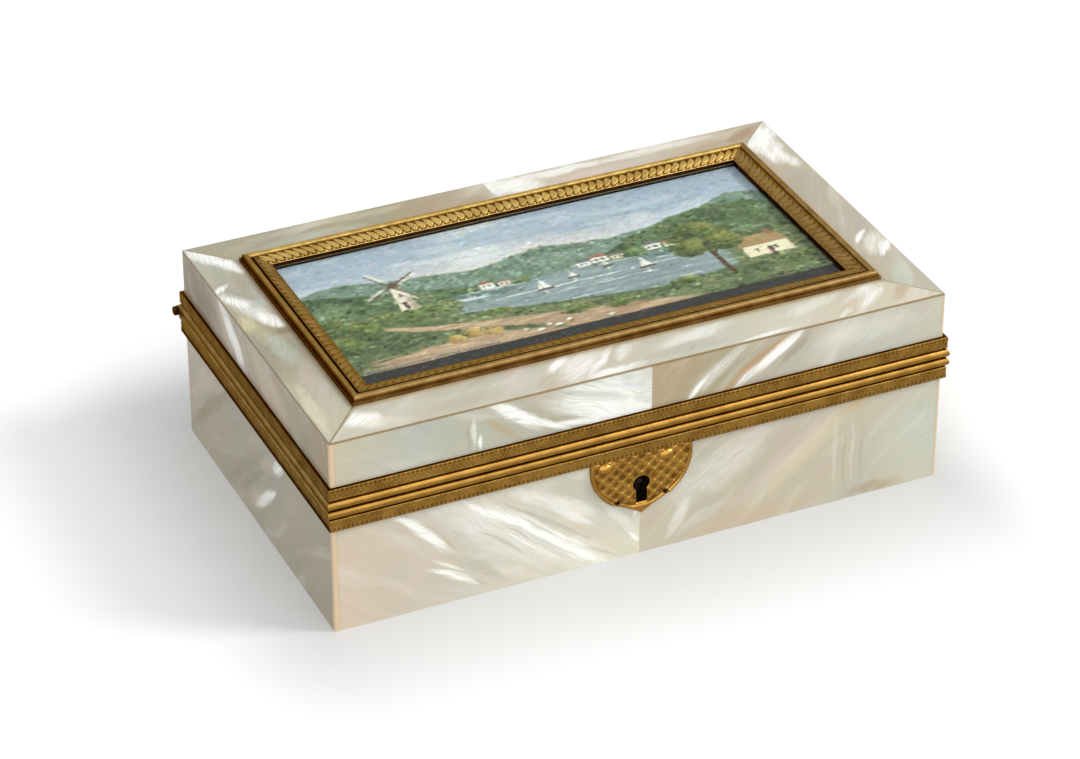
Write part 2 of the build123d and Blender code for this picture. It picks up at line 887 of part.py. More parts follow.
# Padded silk panel under the lid's top board
with BuildPart() as lid_pad:
    pad_half_x = lined_half_width - soft_clearance
    pad_half_y = lined_half_depth - soft_clearance
    crowned_pad(
        pad_half_x,
        pad_half_y,
        0,
        (
            (top_board_bottom, 0),
            (top_board_bottom - lid_pad_edge, 0),
            (top_board_bottom - lid_pad_thickness + lid_pad_edge / 2, lid_pad_shoulder),
            (top_board_bottom - lid_pad_thickness, lid_pad_bevel),
        ),
        lid_pad_corner,
    )
save(lid_pad, "lid_pad")

# Tray: a board with four sides, dividers, a pad in each open compartment and a pincushion
tray_bottom = tray_seat_height + tray_seat_gap
tray_floor = tray_bottom + tray_board
tray_top = tray_bottom + tray_height
tray_half_x = lined_half_width - tray_clearance
tray_half_y = lined_half_depth - tray_clearance
room_half_x = tray_half_x - tray_board
room_half_y = tray_half_y - tray_board
tray_levels = (tray_floor, tray_top)

with BuildPart() as tray_base:
    block((-tray_half_x, tray_half_x), (-tray_half_y, tray_half_y), (tray_bottom, tray_floor))
save(tray_base, "tray_base")

with BuildPart() as tray_frame:
    wall_ring(tray_half_x, tray_half_y, tray_board, tray_levels)
save(tray_frame, "tray_frame")

cross_outer = room_half_x - end_compartment
cross_inner = cross_outer - divider_thickness
cushion_front = room_half_y - cushion_compartment
long_front = cushion_front - divider_thickness
end_reach = room_half_y - glue_line
with BuildPart() as tray_dividers:
    for side in (-1, 1):
        block((side * cross_inner, side * cross_outer), (-end_reach, end_reach), tray_levels)
    long_reach = cross_inner - glue_line
    block((-long_reach, long_reach), (long_front, cushion_front), tray_levels)
    short_limits = (-room_half_x + glue_line, -cross_outer - glue_line)
    block(short_limits, (-divider_thickness / 2, divider_thickness / 2), tray_levels)
save(tray_dividers, "tray_dividers")

# Open compartments as x limits and y limits
compartments = (
    ((-room_half_x, -cross_outer), (-room_half_y, -divider_thickness / 2)),
    ((-room_half_x, -cross_outer), (divider_thickness / 2, room_half_y)),
    ((cross_outer, room_half_x), (-room_half_y, room_half_y)),
    ((-cross_inner, cross_inner), (-room_half_y, long_front)),
)
with BuildPart() as tray_pads:
    for (left, right), (front, back) in compartments:
        block(
            (left + soft_clearance, right - soft_clearance),
            (front + soft_clearance, back - soft_clearance),
            (tray_floor, tray_floor + pad_thickness),
        )
save(tray_pads, "tray_pads")

with BuildPart() as pincushion:
    cushion_middle = (cushion_front + room_half_y) / 2
    crowned_pad(
        cross_inner - soft_clearance,
        cushion_compartment / 2 - soft_clearance,
        cushion_middle,
        (
            (tray_floor, cushion_tuck),
            (tray_floor + cushion_belly * tray_height, 0),
            (tray_top - cushion_shoulder, cushion_tuck),
            (tray_top + cushion_rise, cushion_crown_inset),
        ),
        cushion_corner,
    )
save(pincushion, "pincushion")

# Silk ribbon tabs to lift the tray by, inside its two ends
with BuildPart() as tray_ribbons:
    for side in (-1, 1):
        block(
            (side * room_half_x, side * (room_half_x - ribbon_thickness)),
            (room_half_y / 2 - ribbon_width / 2, room_half_y / 2 + ribbon_width / 2),
            (tray_top - ribbon_reach, tray_top + ribbon_rise),
        )
save(tray_ribbons, "tray_ribbons")
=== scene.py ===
"""Sewing box of mother-of-pearl with gilt mounts: its looks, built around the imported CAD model."""

import math

import bpy
import numpy as np
from mathutils import Euler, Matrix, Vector


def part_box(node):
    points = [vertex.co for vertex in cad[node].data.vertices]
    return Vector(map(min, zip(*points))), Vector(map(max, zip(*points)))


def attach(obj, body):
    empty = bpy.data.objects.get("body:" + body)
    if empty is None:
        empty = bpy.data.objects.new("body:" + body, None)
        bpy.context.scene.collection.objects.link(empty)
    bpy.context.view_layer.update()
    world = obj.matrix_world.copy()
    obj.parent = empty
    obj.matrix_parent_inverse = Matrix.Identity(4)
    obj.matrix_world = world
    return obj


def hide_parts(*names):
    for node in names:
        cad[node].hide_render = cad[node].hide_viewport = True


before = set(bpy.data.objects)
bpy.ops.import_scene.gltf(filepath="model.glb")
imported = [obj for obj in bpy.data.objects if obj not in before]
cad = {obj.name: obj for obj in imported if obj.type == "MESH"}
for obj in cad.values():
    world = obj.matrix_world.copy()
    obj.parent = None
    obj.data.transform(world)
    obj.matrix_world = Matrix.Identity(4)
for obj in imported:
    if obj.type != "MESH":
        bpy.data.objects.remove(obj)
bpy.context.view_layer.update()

# A millimetre in the frame's metres
MM = 0.001
# Sizes in millimetres, repeated from the CAD source
HALF_WIDTH = 82.5
HALF_DEPTH = 49.5
BODY_TOP = 54.0
CLOSING = 35.6
BAND_PROUD = 0.8
BAND_NEAR = 2.7
BAND_FAR = 6.0
FRAME_HALF_X = 71.2
FRAME_HALF_Y = 37.6
FRAME_SHIFT = 0.9
FRAME_WIDTH = 6.4
FRAME_FOOT = 0.5
FRAME_RIDGE = 1.8
FRAME_GROOVE = 0.4
FRAME_BAND = 3.7
END_BORDER = 11.3
FRONT_BORDER = 12.8
BACK_BORDER = 11.0
LOCK_X = -1.2
KEYHOLE_Z = 21.0
KEYHOLE_RADIUS = 2.2
KEYHOLE_SLOT = 1.45
KEYHOLE_BOTTOM = 15.6
BASE_FLOOR = 3.0
LID_CEILING = 48.5
TRAY_FLOOR = 21.55
TRAY_TOP = 33.05


def linear(red, green, blue):
    """A colour given as the eye reads it, 0 to 255, as Blender's linear colour."""
    shares = (value / 255 for value in (red, green, blue))
    return tuple(s / 12.92 if s <= 0.04045 else ((s + 0.055) / 1.055) ** 2.4 for s in shares) + (1.0,)


def ease(value):
    """Smooth step from 0 to 1."""
    value = np.clip(value, 0, 1)
    return value * value * (3 - 2 * value)


class Field:
    """A node's output. Its sums and products with numbers and other fields are new nodes."""

    def __init__(self, shader, socket):
        self.shader = shader
        self.socket = socket

    def __add__(self, other):
        return self.shader.math("ADD", self, other)

    def __sub__(self, other):
        return self.shader.math("SUBTRACT", self, other)

    def __rsub__(self, other):
        return self.shader.math("SUBTRACT", other, self)

    def __mul__(self, other):
        return self.shader.math("MULTIPLY", self, other)

    def __abs__(self):
        return self.shader.math("ABSOLUTE", self)

    def most(self, other):
        """The larger of the two."""
        return self.shader.math("MAXIMUM", self, other)

    def below(self, limit):
        """1 under the limit, else 0."""
        return self.shader.math("LESS_THAN", self, limit)

    def ramp(self, low, high):
        """0 at or under low, 1 at or over high, smooth between."""
        settings = {"Value": self, "From Min": low, "From Max": high}
        return self.shader.field("ShaderNodeMapRange", settings, interpolation_type="SMOOTHSTEP")


class Shader:
    """Adds nodes to one new material or world. A value is a number, a colour or a Field."""

    def __init__(self, name, group="materials"):
        self.made = getattr(bpy.data, group).new(name)
        self.made.use_nodes = True
        self.tree = self.made.node_tree
        self.tree.nodes.clear()

    def node(self, kind, inputs=None, **settings):
        made = self.tree.nodes.new(kind)
        for key, value in settings.items():
            setattr(made, key, value)
        for key, value in (inputs or {}).items():
            if isinstance(value, Field):
                self.tree.links.new(value.socket, made.inputs[key])
            else:
                made.inputs[key].default_value = value
        return made

    def field(self, kind, inputs=None, output=0, **settings):
        """One output of a new node."""
        return Field(self, self.node(kind, inputs, **settings).outputs[output])

    def math(self, operation, a, b=0.0, clamp=False):
        return self.field("ShaderNodeMath", {0: a, 1: b}, operation=operation, use_clamp=clamp)

    def vector(self, operation, *values):
        values = dict(enumerate(values))
        return self.field("ShaderNodeVectorMath", values, operation=operation)

    def millimetres(self):
        """The point in the shared frame, in millimetres."""
        where = self.field("ShaderNodeTexCoord", output="Object")
        return self.vector("MULTIPLY", where, (1 / MM, 1 / MM, 1 / MM))

    def split(self, vector):
        outputs = self.node("ShaderNodeSeparateXYZ", {0: vector}).outputs
        return [Field(self, socket) for socket in outputs]

    def axes(self):
        """The three coordinates of the point in millimetres, by name."""
        return dict(zip("xyz", self.split(self.millimetres())))

    def join(self, x, y, z=0.0):
        return self.field("ShaderNodeCombineXYZ", {0: x, 1: y, 2: z})

    def place(self, vector, centre=(0, 0, 0), angle=0.0, size=(1, 1, 1)):
        """The vector as seen from a patch of that centre, angle in degrees and size."""
        settings = {"Vector": vector, "Location": centre, "Scale": size}
        settings["Rotation"] = (0, 0, math.radians(angle))
        return self.field("ShaderNodeMapping", settings, vector_type="TEXTURE")

    def noise(self, vector, scale, detail=2.0, roughness=0.5, output=0):
        settings = {"Vector": vector, "Scale": scale, "Detail": detail, "Roughness": roughness}
        return self.field("ShaderNodeTexNoise", settings, output)

    def grain(self, vector, size, detail, roughness, angle=0.0):
        """Noise drawn out into patches of that size and angle."""
        return self.noise(self.place(vector, angle=angle, size=size), 1.0, detail, roughness)

    def warp(self, vector, scale, reach):
        """The vector pushed about by slow noise, by up to about half of reach."""
        drift = self.vector("SUBTRACT", self.noise(vector, scale, output=1), (0.5, 0.5, 0.5))
        return self.vector("MULTIPLY_ADD", drift, (reach, reach, 0), vector)

    def mix(self, share, a, b):
        return self.field("ShaderNodeMix", {0: share, 6: a, 7: b}, 2, data_type="RGBA")

    def wash(self, colour, value, low, high, tint, strength=1.0):
        """The colour washed with a tint where value passes from low to high."""
        return self.mix(value.ramp(low, high) * strength, colour, tint)

    def stops(self, value, *stops):
        """A colour ramp from (position, colour) pairs."""
        made = self.node("ShaderNodeValToRGB", {0: value})
        elements = made.color_ramp.elements
        while len(elements) < len(stops):
            elements.new(0.5)
        for element, (position, colour) in zip(elements, stops):
            element.position, element.color = position, colour
        return Field(self, made.outputs[0])

    def bump(self, height, depth, strength):
        """A bump of that depth in millimetres."""
        settings = {"Height": height, "Distance": depth * MM, "Strength": strength}
        return self.field("ShaderNodeBump", settings)

    def blend(self, share, a, b):
        """Two surfaces mixed."""
        return self.field("ShaderNodeMixShader", {0: share, 1: a, 2: b})

    def output(self, surface, kind="Material"):
        self.node(f"ShaderNodeOutput{kind}", {0: surface})
        return self.made

    def finish(self, **inputs):
        """Joins the surface: underscores in the names stand for spaces."""
        named = {key.replace("_", " "): value for key, value in inputs.items()}
        return self.output(self.field("ShaderNodeBsdfPrincipled", named))


def distance(s, x, y):
    """How far from 0 the point of two fields lies."""
    return s.math("SQRT", x * x + y * y)


# Mother-of-pearl
WHITE = linear(252, 253, 247)
ROSE = linear(226, 200, 194)
GREEN = linear(190, 206, 190)
BLUE = linear(192, 204, 214)
CREAM = linear(228, 216, 190)
YELLOW = linear(221, 209, 172)
TAN = linear(172, 150, 116)
# SHADE darkens some fibres, the nacre's own colour, and also serves as painted shade in streaks beside
# the glints
SHADE = linear(160, 156, 134)
GLUE_BROWN = linear(116, 86, 28)
GLUE_FADED = linear(176, 132, 44)
GLUE_GREY = linear(140, 116, 84)
# A painted highlight along the plates' rounded corner edges
ARRIS_PAINTED_HIGHLIGHT = linear(216, 192, 157)
# Painted shade inside the keyhole
KEYHOLE_SHADE_BLACK = linear(26, 18, 14)
# Streaks wider than this, in millimetres, aren't combed
WIDEST_COMB = 2.5


def pearl_streak(s, flat, hair, cloud, streak):
    """How much of one band lies at a point, from 0 to 1: (centre u, v, half length, half width, angle,
    strength, tint). White bands are painted highlights, the nacre's glints, and SHADE bands painted
    shade beside them; tan and tinted bands are the nacre's own colour, save a few thin tan lines of
    painted shade beside the glints. A narrow band is combed by hair, the plate's finest fibre, and a
    wide one has soft edges, torn by cloud, and faint veins."""
    u, v, reach, width, angle, strength, _ = streak
    local = s.place(flat, (u, v, 0), angle, (reach, width, 1))
    glow = s.field("ShaderNodeTexGradient", {0: local}, 1, gradient_type="SPHERICAL")
    if min(reach, width) > WIDEST_COMB:
        body = (glow + (cloud * 0.9 - 0.45)).ramp(0.02, 0.75) * glow.ramp(0.0, 0.3)
        lines = hair.ramp(0.34, 0.62) * 0.52 + 0.5
    else:
        comb = s.grain(local, (0.8, 0.25, 1), 4.0, 0.6)
        body = (glow + (comb * 1.1 - 0.55)).ramp(0.03, 0.6) * glow.ramp(0.0, 0.25)
        lines = (glow * 0.16 + hair).ramp(0.42, 0.66) * 0.6 + 0.4
    return s.math("MULTIPLY", body * lines, strength, clamp=True)


def frame_foot_painted_shade(x, y):
    """Painted shade at the foot of the picture frame: 1 at its foot, 0 from a few millimetres outside
    it.
    """
    outside = (abs(x) - FRAME_HALF_X).most(abs(y - FRAME_SHIFT) - FRAME_HALF_Y)
    return outside.ramp(1.8, 0.1)


def mitre_lines(x, y):
    """1 on the glue lines at the mitres of the lid's borders, darkest at the front left."""
    from_side = HALF_WIDTH - abs(x)
    lines = []
    for sign, depth in ((1, FRONT_BORDER), (-1, BACK_BORDER)):
        length = math.hypot(depth, END_BORDER)
        from_edge = y * sign + HALF_DEPTH
        off = abs(from_side * (depth / length) - from_edge * (END_BORDER / length))
        lines.append(off.ramp(0.34, 0.08) * from_edge.below(depth + 1.5))
    corner = x * -0.6 + y * -1.0
    return lines[0].most(lines[1]) * (corner.ramp(30.0, 90.0) * 0.45 + 0.4)


def keyhole_painted_shade(s, x, z):
    """1 under the escutcheon round the keyhole: painted shade that blackens the keyhole's inner edges.
    """
    return distance(s, x - LOCK_X, z - (KEYHOLE_Z - 1.2)).ramp(5.0, 4.6)


def pearl(name, plane, tones, grain, streaks, seed, seams):
    """Mother-of-pearl of one plate. plane names the two axes it lies in, tones are its colours as
    (place along, colour), grain is the angle of its fibres, streaks are its bands of painted highlight,
    painted shade and tint, and seams the strips along its edges: (axis, sign, where one starts, colour,
    how dark its line is)."""
    s = Shader(name)
    axes = s.axes()
    across, up = (axes[axis] for axis in plane)
    flat = s.join(across, up)
    drift = s.warp(s.join(across, up, seed), 0.05, 9.0)
    bent = s.warp(drift, 0.22, 1.6)
    fibre = s.grain(bent, (14, 1.5, 1), 5.0, 0.62, grain)
    satin = s.grain(drift, (30, 6, 1), 3.0, 0.55, grain + 8)
    hair = s.grain(bent, (8, 0.45, 1), 3.0, 0.6, grain)
    low, high = tones[0][0], tones[-1][0]
    along = up if plane == "xy" and abs(low) < HALF_DEPTH else across
    wander = s.noise(drift, 0.06, 3.0) * 26.0 - 13.0
    settings = {"Value": along + wander, "From Min": low, "From Max": high}
    place = s.field("ShaderNodeMapRange", settings)
    colour = s.stops(place, *(((u - low) / (high - low), tone) for u, tone in tones))
    hue = s.noise(s.join(across, up, seed + 7), 0.055)
    tint = s.stops(hue, (0.3, ROSE), (0.44, CREAM), (0.56, GREEN), (0.68, BLUE))
    colour = s.mix(0.14, colour, tint)
    colour = s.wash(colour, satin, 0.5, 0.74, WHITE, 0.22)
    colour = s.wash(colour, fibre, 0.54, 0.74, WHITE, 0.12)
    colour = s.wash(colour, fibre, 0.46, 0.28, SHADE, 0.1)
    cloud = s.grain(drift, (5.5, 3, 1), 4.0, 0.58, grain)
    soft_bend = s.warp(flat, 0.07, 3.2)
    light = None
    for streak in streaks:
        share = pearl_streak(s, soft_bend, hair, cloud, streak)
        colour = s.mix(share, colour, streak[-1])
        light = share if light is None else light.most(share)
    if plane == "xy":
        # Painted shade, brown, on the borders along the foot of the frame
        colour = s.mix(frame_foot_painted_shade(across, up) * 0.6, colour, linear(150, 122, 84))
        colour = s.mix(mitre_lines(across, up), colour, GLUE_BROWN)
    for axis, sign, start, strip, dark in seams:
        along = axes[axis] * sign
        colour = s.wash(colour, along, start, start + 0.12, strip)
        colour = s.wash(colour, abs(along - start), 0.3, 0.06, GLUE_BROWN, dark)
    # Painted shade on the plates' cut walls inside the keyhole
    if name.startswith("nacre_base_nacre_front"):
        colour = s.mix(keyhole_painted_shade(s, across, up), colour, KEYHOLE_SHADE_BLACK)
    return s.finish(
        Base_Color=colour,
        Roughness=fibre * 0.22 + 0.2,
        IOR=1.5,
        Coat_Weight=0.2,
        Coat_Roughness=0.08,
        Normal=s.bump(fibre * 0.5 + satin + light * 0.5, 0.1, 0.4),
    )


# Gilding, where it is bright and dull, and the brown in its hollows
GILT_BRIGHT = linear(174, 133, 63)
GILT_MIDDLE = linear(144, 106, 46)
GILT_DEEP = linear(112, 78, 32)
GILT_BROWN = linear(52, 28, 11)
GILT_EDGE = linear(224, 190, 130)
GILT_CHASED = {"tone": linear(174, 134, 66), "dull": linear(136, 98, 40)}
# A darker copy of the gilding for the left side, which is painted shade
GILT_SHADED_LEFT = {"tone": linear(146, 120, 80), "dull": linear(112, 88, 54)}
GILT_PLATE = {"tone": linear(196, 149, 73), "dull": linear(155, 110, 46)}
FRAME_GILT = {"tone": linear(150, 123, 77), "dull": linear(118, 95, 55)}
# A paler copy of the frame's gilding for the back member, which is painted light
FRAME_GILT_LIT = {"tone": linear(198, 168, 100), "dull": linear(152, 122, 62)}


def gilt(name, patina, rough, wear=0.45, tone=GILT_BRIGHT, dull=GILT_MIDDLE):
    """Gilding with brown in its hollows. patina(s, point) gives how deep in a hollow a point is,
    from 0 on the high parts to 1."""
    s = Shader(name)
    point = s.millimetres()
    mottle = s.noise(point, 0.25, 3.0, 0.6)
    fine = s.noise(point, 2.6, 3.0, 0.6)
    colour = s.wash(tone, mottle, 0.3, 0.72, dull, 0.7)
    colour = s.wash(colour, fine, 0.5, 0.72, GILT_DEEP, wear)
    if patina:
        broken = mottle * 0.5 + patina(s, point)
        colour = s.wash(colour, broken, 0.42, 0.9, GILT_DEEP)
        colour = s.wash(colour, broken, 0.85, 1.35, GILT_BROWN)
    return s.finish(
        Base_Color=colour,
        Metallic=1.0,
        Roughness=fine * 0.16 + (rough - 0.06),
        Specular_Tint=GILT_EDGE,
        Normal=s.bump(mottle + fine, 0.05, 0.5),
    )


def rim_patina(s, point):
    """Brown outside along the closing line, in the groove over the bead and along the band's
    outer edge. The flanges inside stay clean."""
    x, y, z = s.split(point)
    off = abs(z - CLOSING)
    outside = (abs(x) - HALF_WIDTH).most(abs(y) - HALF_DEPTH).ramp(0.0, 0.1)
    groove = abs(off - 2.55).ramp(0.5, 0.1)
    edge = off.ramp(BAND_FAR - 0.35, BAND_FAR)
    return off.ramp(0.6, 0.15).most(groove.most(edge)) * outside


def frame_patina_and_shade(s, point):
    """Brown on the picture frame: patina in its groove, and painted shade at its inner lip and on the
    flanks of its ridge, so that only its crest stays bright, most of all outside the ridge along the
    left."""
    x, y = s.split(point)[:2]
    from_end = FRAME_HALF_X - abs(x)
    from_long = FRAME_HALF_Y - abs(y - FRAME_SHIFT)
    inward = s.math("MINIMUM", from_end, from_long)
    left = from_end.below(from_long) * x.below(0.0)
    crest = FRAME_FOOT + FRAME_RIDGE / 2
    groove = FRAME_FOOT + FRAME_RIDGE + FRAME_GROOVE / 2
    # Painted shade: the ridge's flanks darker than its crest, most of all on the left
    hollow = abs(inward - crest).ramp(0.25, 0.8) * (left * 0.45 + 0.4)
    # Patina in the groove, and painted shade at the inner lip
    for middle, half in ((groove, 0.4), (FRAME_WIDTH, 0.8)):
        hollow = hollow.most(abs(inward - middle).ramp(half, half * 0.4))
    return hollow


def relief_patina(strength, edge=0.0):
    """Brown where the mesh's own relief is low, up to that strength, and up to edge along the lower
    edge of the base's chased band, a painted shade that only the left side's darker copy uses."""

    def patina(s, point):
        relief = s.field("ShaderNodeAttribute", output="Fac", attribute_name="relief")
        below = CLOSING - s.split(point)[2]
        outer = below.ramp(BAND_FAR - 2.4, BAND_FAR - 0.7) * edge
        return (relief.ramp(0.7, 0.0) * strength).most(outer)

    return patina


def plain_brass():
    s = Shader("plain_brass_filed")
    point = s.millimetres()
    scratches = s.grain(point, (6, 0.25, 1), 4.0, 0.6, 20)
    tarnish = s.noise(point, 0.3, 3.0)
    return s.finish(
        Base_Color=s.wash(linear(196, 160, 98), tarnish, 0.35, 0.7, linear(150, 112, 60)),
        Metallic=1.0,
        Roughness=scratches * 0.25 + 0.22,
        Normal=s.bump(scratches, 0.03, 0.6),
    )


def shaded_lock_brass():
    """The lock's case, painted nearly black as shade inside the keyhole, with some tarnish."""
    s = Shader("plain_brass_painted_shade")
    tarnish = s.noise(s.millimetres(), 0.5, 4.0, 0.6)
    colour = s.wash(linear(34, 28, 26), tarnish, 0.35, 0.7, linear(62, 48, 34))
    return s.finish(
        Base_Color=colour, Metallic=0.3, Roughness=0.6, Normal=s.bump(tarnish, 0.04, 0.5)
    )


def dull_steel(name, dark, light):
    s = Shader(name)
    point = s.millimetres()
    grain = s.grain(point, (4, 0.2, 1), 4.0, 0.6, 75)
    rust = s.noise(point, 0.8, 4.0)
    colour = s.wash(dark, grain, 0.3, 0.7, light)
    colour = s.wash(colour, rust, 0.6, 0.72, linear(96, 62, 40), 0.3)
    return s.finish(
        Base_Color=colour, Metallic=1.0, Roughness=0.4, Normal=s.bump(grain, 0.03, 0.6)
    )


def carcass_wood():
    s = Shader("carcass_wood_planed")
    x, y, z = s.split(s.millimetres())
    point = s.warp(s.millimetres(), 0.03, 4.0)
    rings = s.grain(point, (60, 3, 3), 5.0, 0.6)
    pores = s.grain(point, (9, 0.5, 0.5), 3.0, 0.7)
    colour = s.wash(linear(150, 104, 66), rings, 0.35, 0.65, linear(122, 78, 46))
    colour = s.wash(colour, pores, 0.58, 0.7, linear(78, 46, 26), 0.6)
    # Painted shade on the wood inside the keyhole
    front = y.below(-HALF_DEPTH + 6.0)
    colour = s.mix(keyhole_painted_shade(s, x, z) * front, colour, KEYHOLE_SHADE_BLACK)
    return s.finish(Base_Color=colour, Roughness=0.55, Normal=s.bump(pores, 0.06, 0.7))


def tray_paper():
    """Paper over the tray's boards, with a gilt strip along the upper edges."""
    s = Shader("tray_board_paper")
    point = s.millimetres()
    fibres = s.noise(point, 2.2, 5.0, 0.7)
    stain = s.noise(point, 0.06, 3.0)
    colour = s.wash(linear(226, 214, 192), fibres, 0.35, 0.7, linear(205, 190, 164))
    colour = s.wash(colour, stain, 0.5, 0.7, linear(196, 172, 138), 0.35)
    edge = s.split(point)[2].ramp(TRAY_TOP - 0.9, TRAY_TOP - 0.8)
    return s.finish(
        Base_Color=s.mix(edge, colour, linear(196, 150, 76)),
        Metallic=edge * 0.85,
        Roughness=edge * -0.35 + 0.75,
        Normal=s.bump(fibres, 0.03, 0.6),
    )


SILK_LIGHT = linear(224, 214, 194)
SILK_SHADE = linear(196, 180, 152)
# From thread to thread, in millimetres
SILK_PITCH = 0.32


def silk(name, plane, light=SILK_LIGHT, shade=SILK_SHADE):
    """Woven silk with slubs along the weft and a soft sheen."""
    s = Shader(name)
    axes = s.axes()
    across, up = (axes[axis] for axis in plane)
    flat = s.join(across, up)
    slubs = s.grain(flat, (14, 0.3, 1), 3.0, 0.6)
    warp, weft = (s.math("SINE", line * (2 * math.pi / SILK_PITCH)) for line in (across, up))
    age = s.noise(flat, 0.035, 3.0)
    colour = s.wash(light, age, 0.35, 0.68, shade, 0.4)
    return s.finish(
        Base_Color=s.wash(colour, slubs, 0.5, 0.75, WHITE, 0.12),
        Roughness=0.42,
        Sheen_Weight=0.35,
        Sheen_Roughness=0.35,
        Sheen_Tint=linear(240, 232, 214),
        Normal=s.bump(warp * weft * 0.25 + slubs * 0.35, 0.05, 0.6),
    )


def velvet():
    """Cut velvet whose pile lies in slow patches."""
    s = Shader("velvet_pincushion")
    point = s.millimetres()
    brushed = s.noise(point, 0.07)
    pile = s.noise(point, 5.0, 3.0, 0.8)
    colour = s.wash(linear(132, 28, 36), brushed, 0.36, 0.66, linear(72, 10, 18), 0.32)
    return s.finish(
        Base_Color=s.wash(colour, pile, 0.5, 0.75, linear(176, 60, 62), 0.35),
        Roughness=0.9,
        Sheen_Weight=0.8,
        Sheen_Roughness=0.4,
        Sheen_Tint=linear(224, 110, 106),
        Normal=s.bump(pile, 0.12, 0.8),
    )


# Share of the glass's reflection that is kept
GLASS_SHINE = 0.5


def picture_glass():
    """Clear glass: it lets the picture through and keeps a weak reflection."""
    s = Shader("picture_glass_clear")
    haze = s.noise(s.millimetres(), 0.08, 3.0)
    clear = s.field("ShaderNodeBsdfTransparent", {0: (0.97, 0.985, 0.98, 1)})
    settings = {"Color": (1, 1, 1, 1), "Roughness": haze * 0.06 + 0.02}
    gloss = s.field("ShaderNodeBsdfGlossy", settings)
    front = 1.0 - s.field("ShaderNodeNewGeometry", output="Backfacing")
    share = s.field("ShaderNodeFresnel", {"IOR": 1.45}) * front * GLASS_SHINE
    return s.output(s.blend(share, clear, gloss))


def painted_card():
    """The picture's paint, with brush ridges and the grain of the card."""
    s = Shader("picture_panel_paint")
    paint = s.field("ShaderNodeVertexColor", layer_name="paint")
    point = s.millimetres()
    ridges = s.grain(point, (1.6, 0.45, 1), 4.0, 0.65, 12)
    grain = s.noise(point, 4.0)
    colour = s.wash(paint, ridges, 0.55, 0.75, WHITE, 0.16)
    return s.finish(
        Base_Color=s.wash(colour, ridges, 0.46, 0.3, linear(60, 62, 50), 0.2),
        Roughness=0.65,
        Specular_IOR_Level=0.12,
        Normal=s.bump(ridges + grain, 0.04, 0.5),
    )


def dress(material, *names):
    """Gives CAD nodes a material."""
    for name in names:
        for slot in cad[name].material_slots:
            slot.material = material


def shades(*stops):
    """Colours along a plate, from (place, red, green, blue)."""
    return [(place, linear(*tone)) for place, *tone in stops]


# Bands of painted highlight (white), painted shade and tint on the plates: centre across, centre up,
# half length, half width, angle, strength, tint
BASE_FRONT_LEFT_STREAKS = (
    (-37, 16, 34, 9, -38, 0.42, WHITE), (-20, 7, 24, 6, -36, 0.45, WHITE),
    (-17, 22, 14, 5, -34, 0.35, SHADE), (-30, 15, 26, 3.4, -37, 0.72, WHITE),
    (-34, 17.2, 11, 2.1, -40, 1, WHITE), (-26.5, 11.2, 11, 1.8, -34, 1, WHITE),
    (-18, 5, 12, 2.2, -32, 1, WHITE), (-42, 23, 11, 1.6, -40, 0.8, WHITE),
    (-58.5, 21.5, 12, 2.2, -44, 1, WHITE), (-63, 26.5, 6, 1.4, -30, 0.6, WHITE),
    (-51, 7.4, 10, 1.6, -30, 1, WHITE), (-52.5, 11, 7, 0.9, -34, 0.6, WHITE),
    (-45, 9, 15, 2.4, -38, 0.3, SHADE), (-26, 8.5, 12, 1, -38, 0.3, SHADE),
    (-29, 12.2, 22, 0.9, -37, 0.45, SHADE), (-38.5, 14, 11, 0.8, -40, 0.4, TAN),
    (-23, 14.4, 16, 0.8, -35, 0.4, SHADE), (-31, 19.5, 15, 0.7, -38, 0.35, SHADE),
    (-55.4, 20.4, 11, 0.9, -44, 0.4, TAN), (-47, 5.6, 9, 0.8, -30, 0.3, TAN),
    (-12, 4.2, 9, 0.7, -34, 0.35, SHADE), (-21, 10.4, 12, 0.6, -35, 0.9, WHITE),
    (-33.5, 12.6, 9, 0.5, -38, 0.8, WHITE), (-28.6, 15.4, 9, 0.6, -38, 0.45, SHADE),
    (-34.5, 15.2, 7, 0.5, -40, 0.4, TAN), (-9, 15, 15, 8, -38, 0.55, linear(194, 200, 190)),
    (-24, 21, 17, 3, -30, 0.6, WHITE), (-19, 15.5, 9, 1.4, -34, 0.6, WHITE),
    (-7, 12, 12, 2, -50, 0.35, WHITE), (-3, 5.4, 3, 0.9, -50, 0.9, WHITE),
    (-2.4, 12.6, 2.4, 0.9, 60, 0.8, WHITE), (-72, 6, 16, 8, 10, 0.4, linear(214, 190, 164)),
)
BASE_FRONT_RIGHT_STREAKS = (
    (44, 17, 27, 4, 37, 0.55, YELLOW), (37, 16, 24, 3.2, 37, 0.35, ROSE),
    (58, 27.5, 6, 2.6, 30, 0.6, linear(200, 172, 122)), (53, 14, 0.9, 15, 0, 0.16, WHITE),
    (55.6, 12, 0.8, 13, 0, 0.35, SHADE), (58, 15, 0.9, 15, 0, 0.16, WHITE),
    (60.6, 13, 0.7, 13, 0, 0.3, SHADE), (72, 15, 14, 14, 0, 0.3, GREEN),
    (9.5, 8, 9, 2.4, 60, 0.4, WHITE), (22, 20, 22, 8, 30, 0.35, WHITE),
    (28, 2.8, 30, 4, 4, 0.5, linear(200, 176, 142)), (64, 1.4, 12, 2.6, 0, 0.6, linear(170, 140, 104)),
)
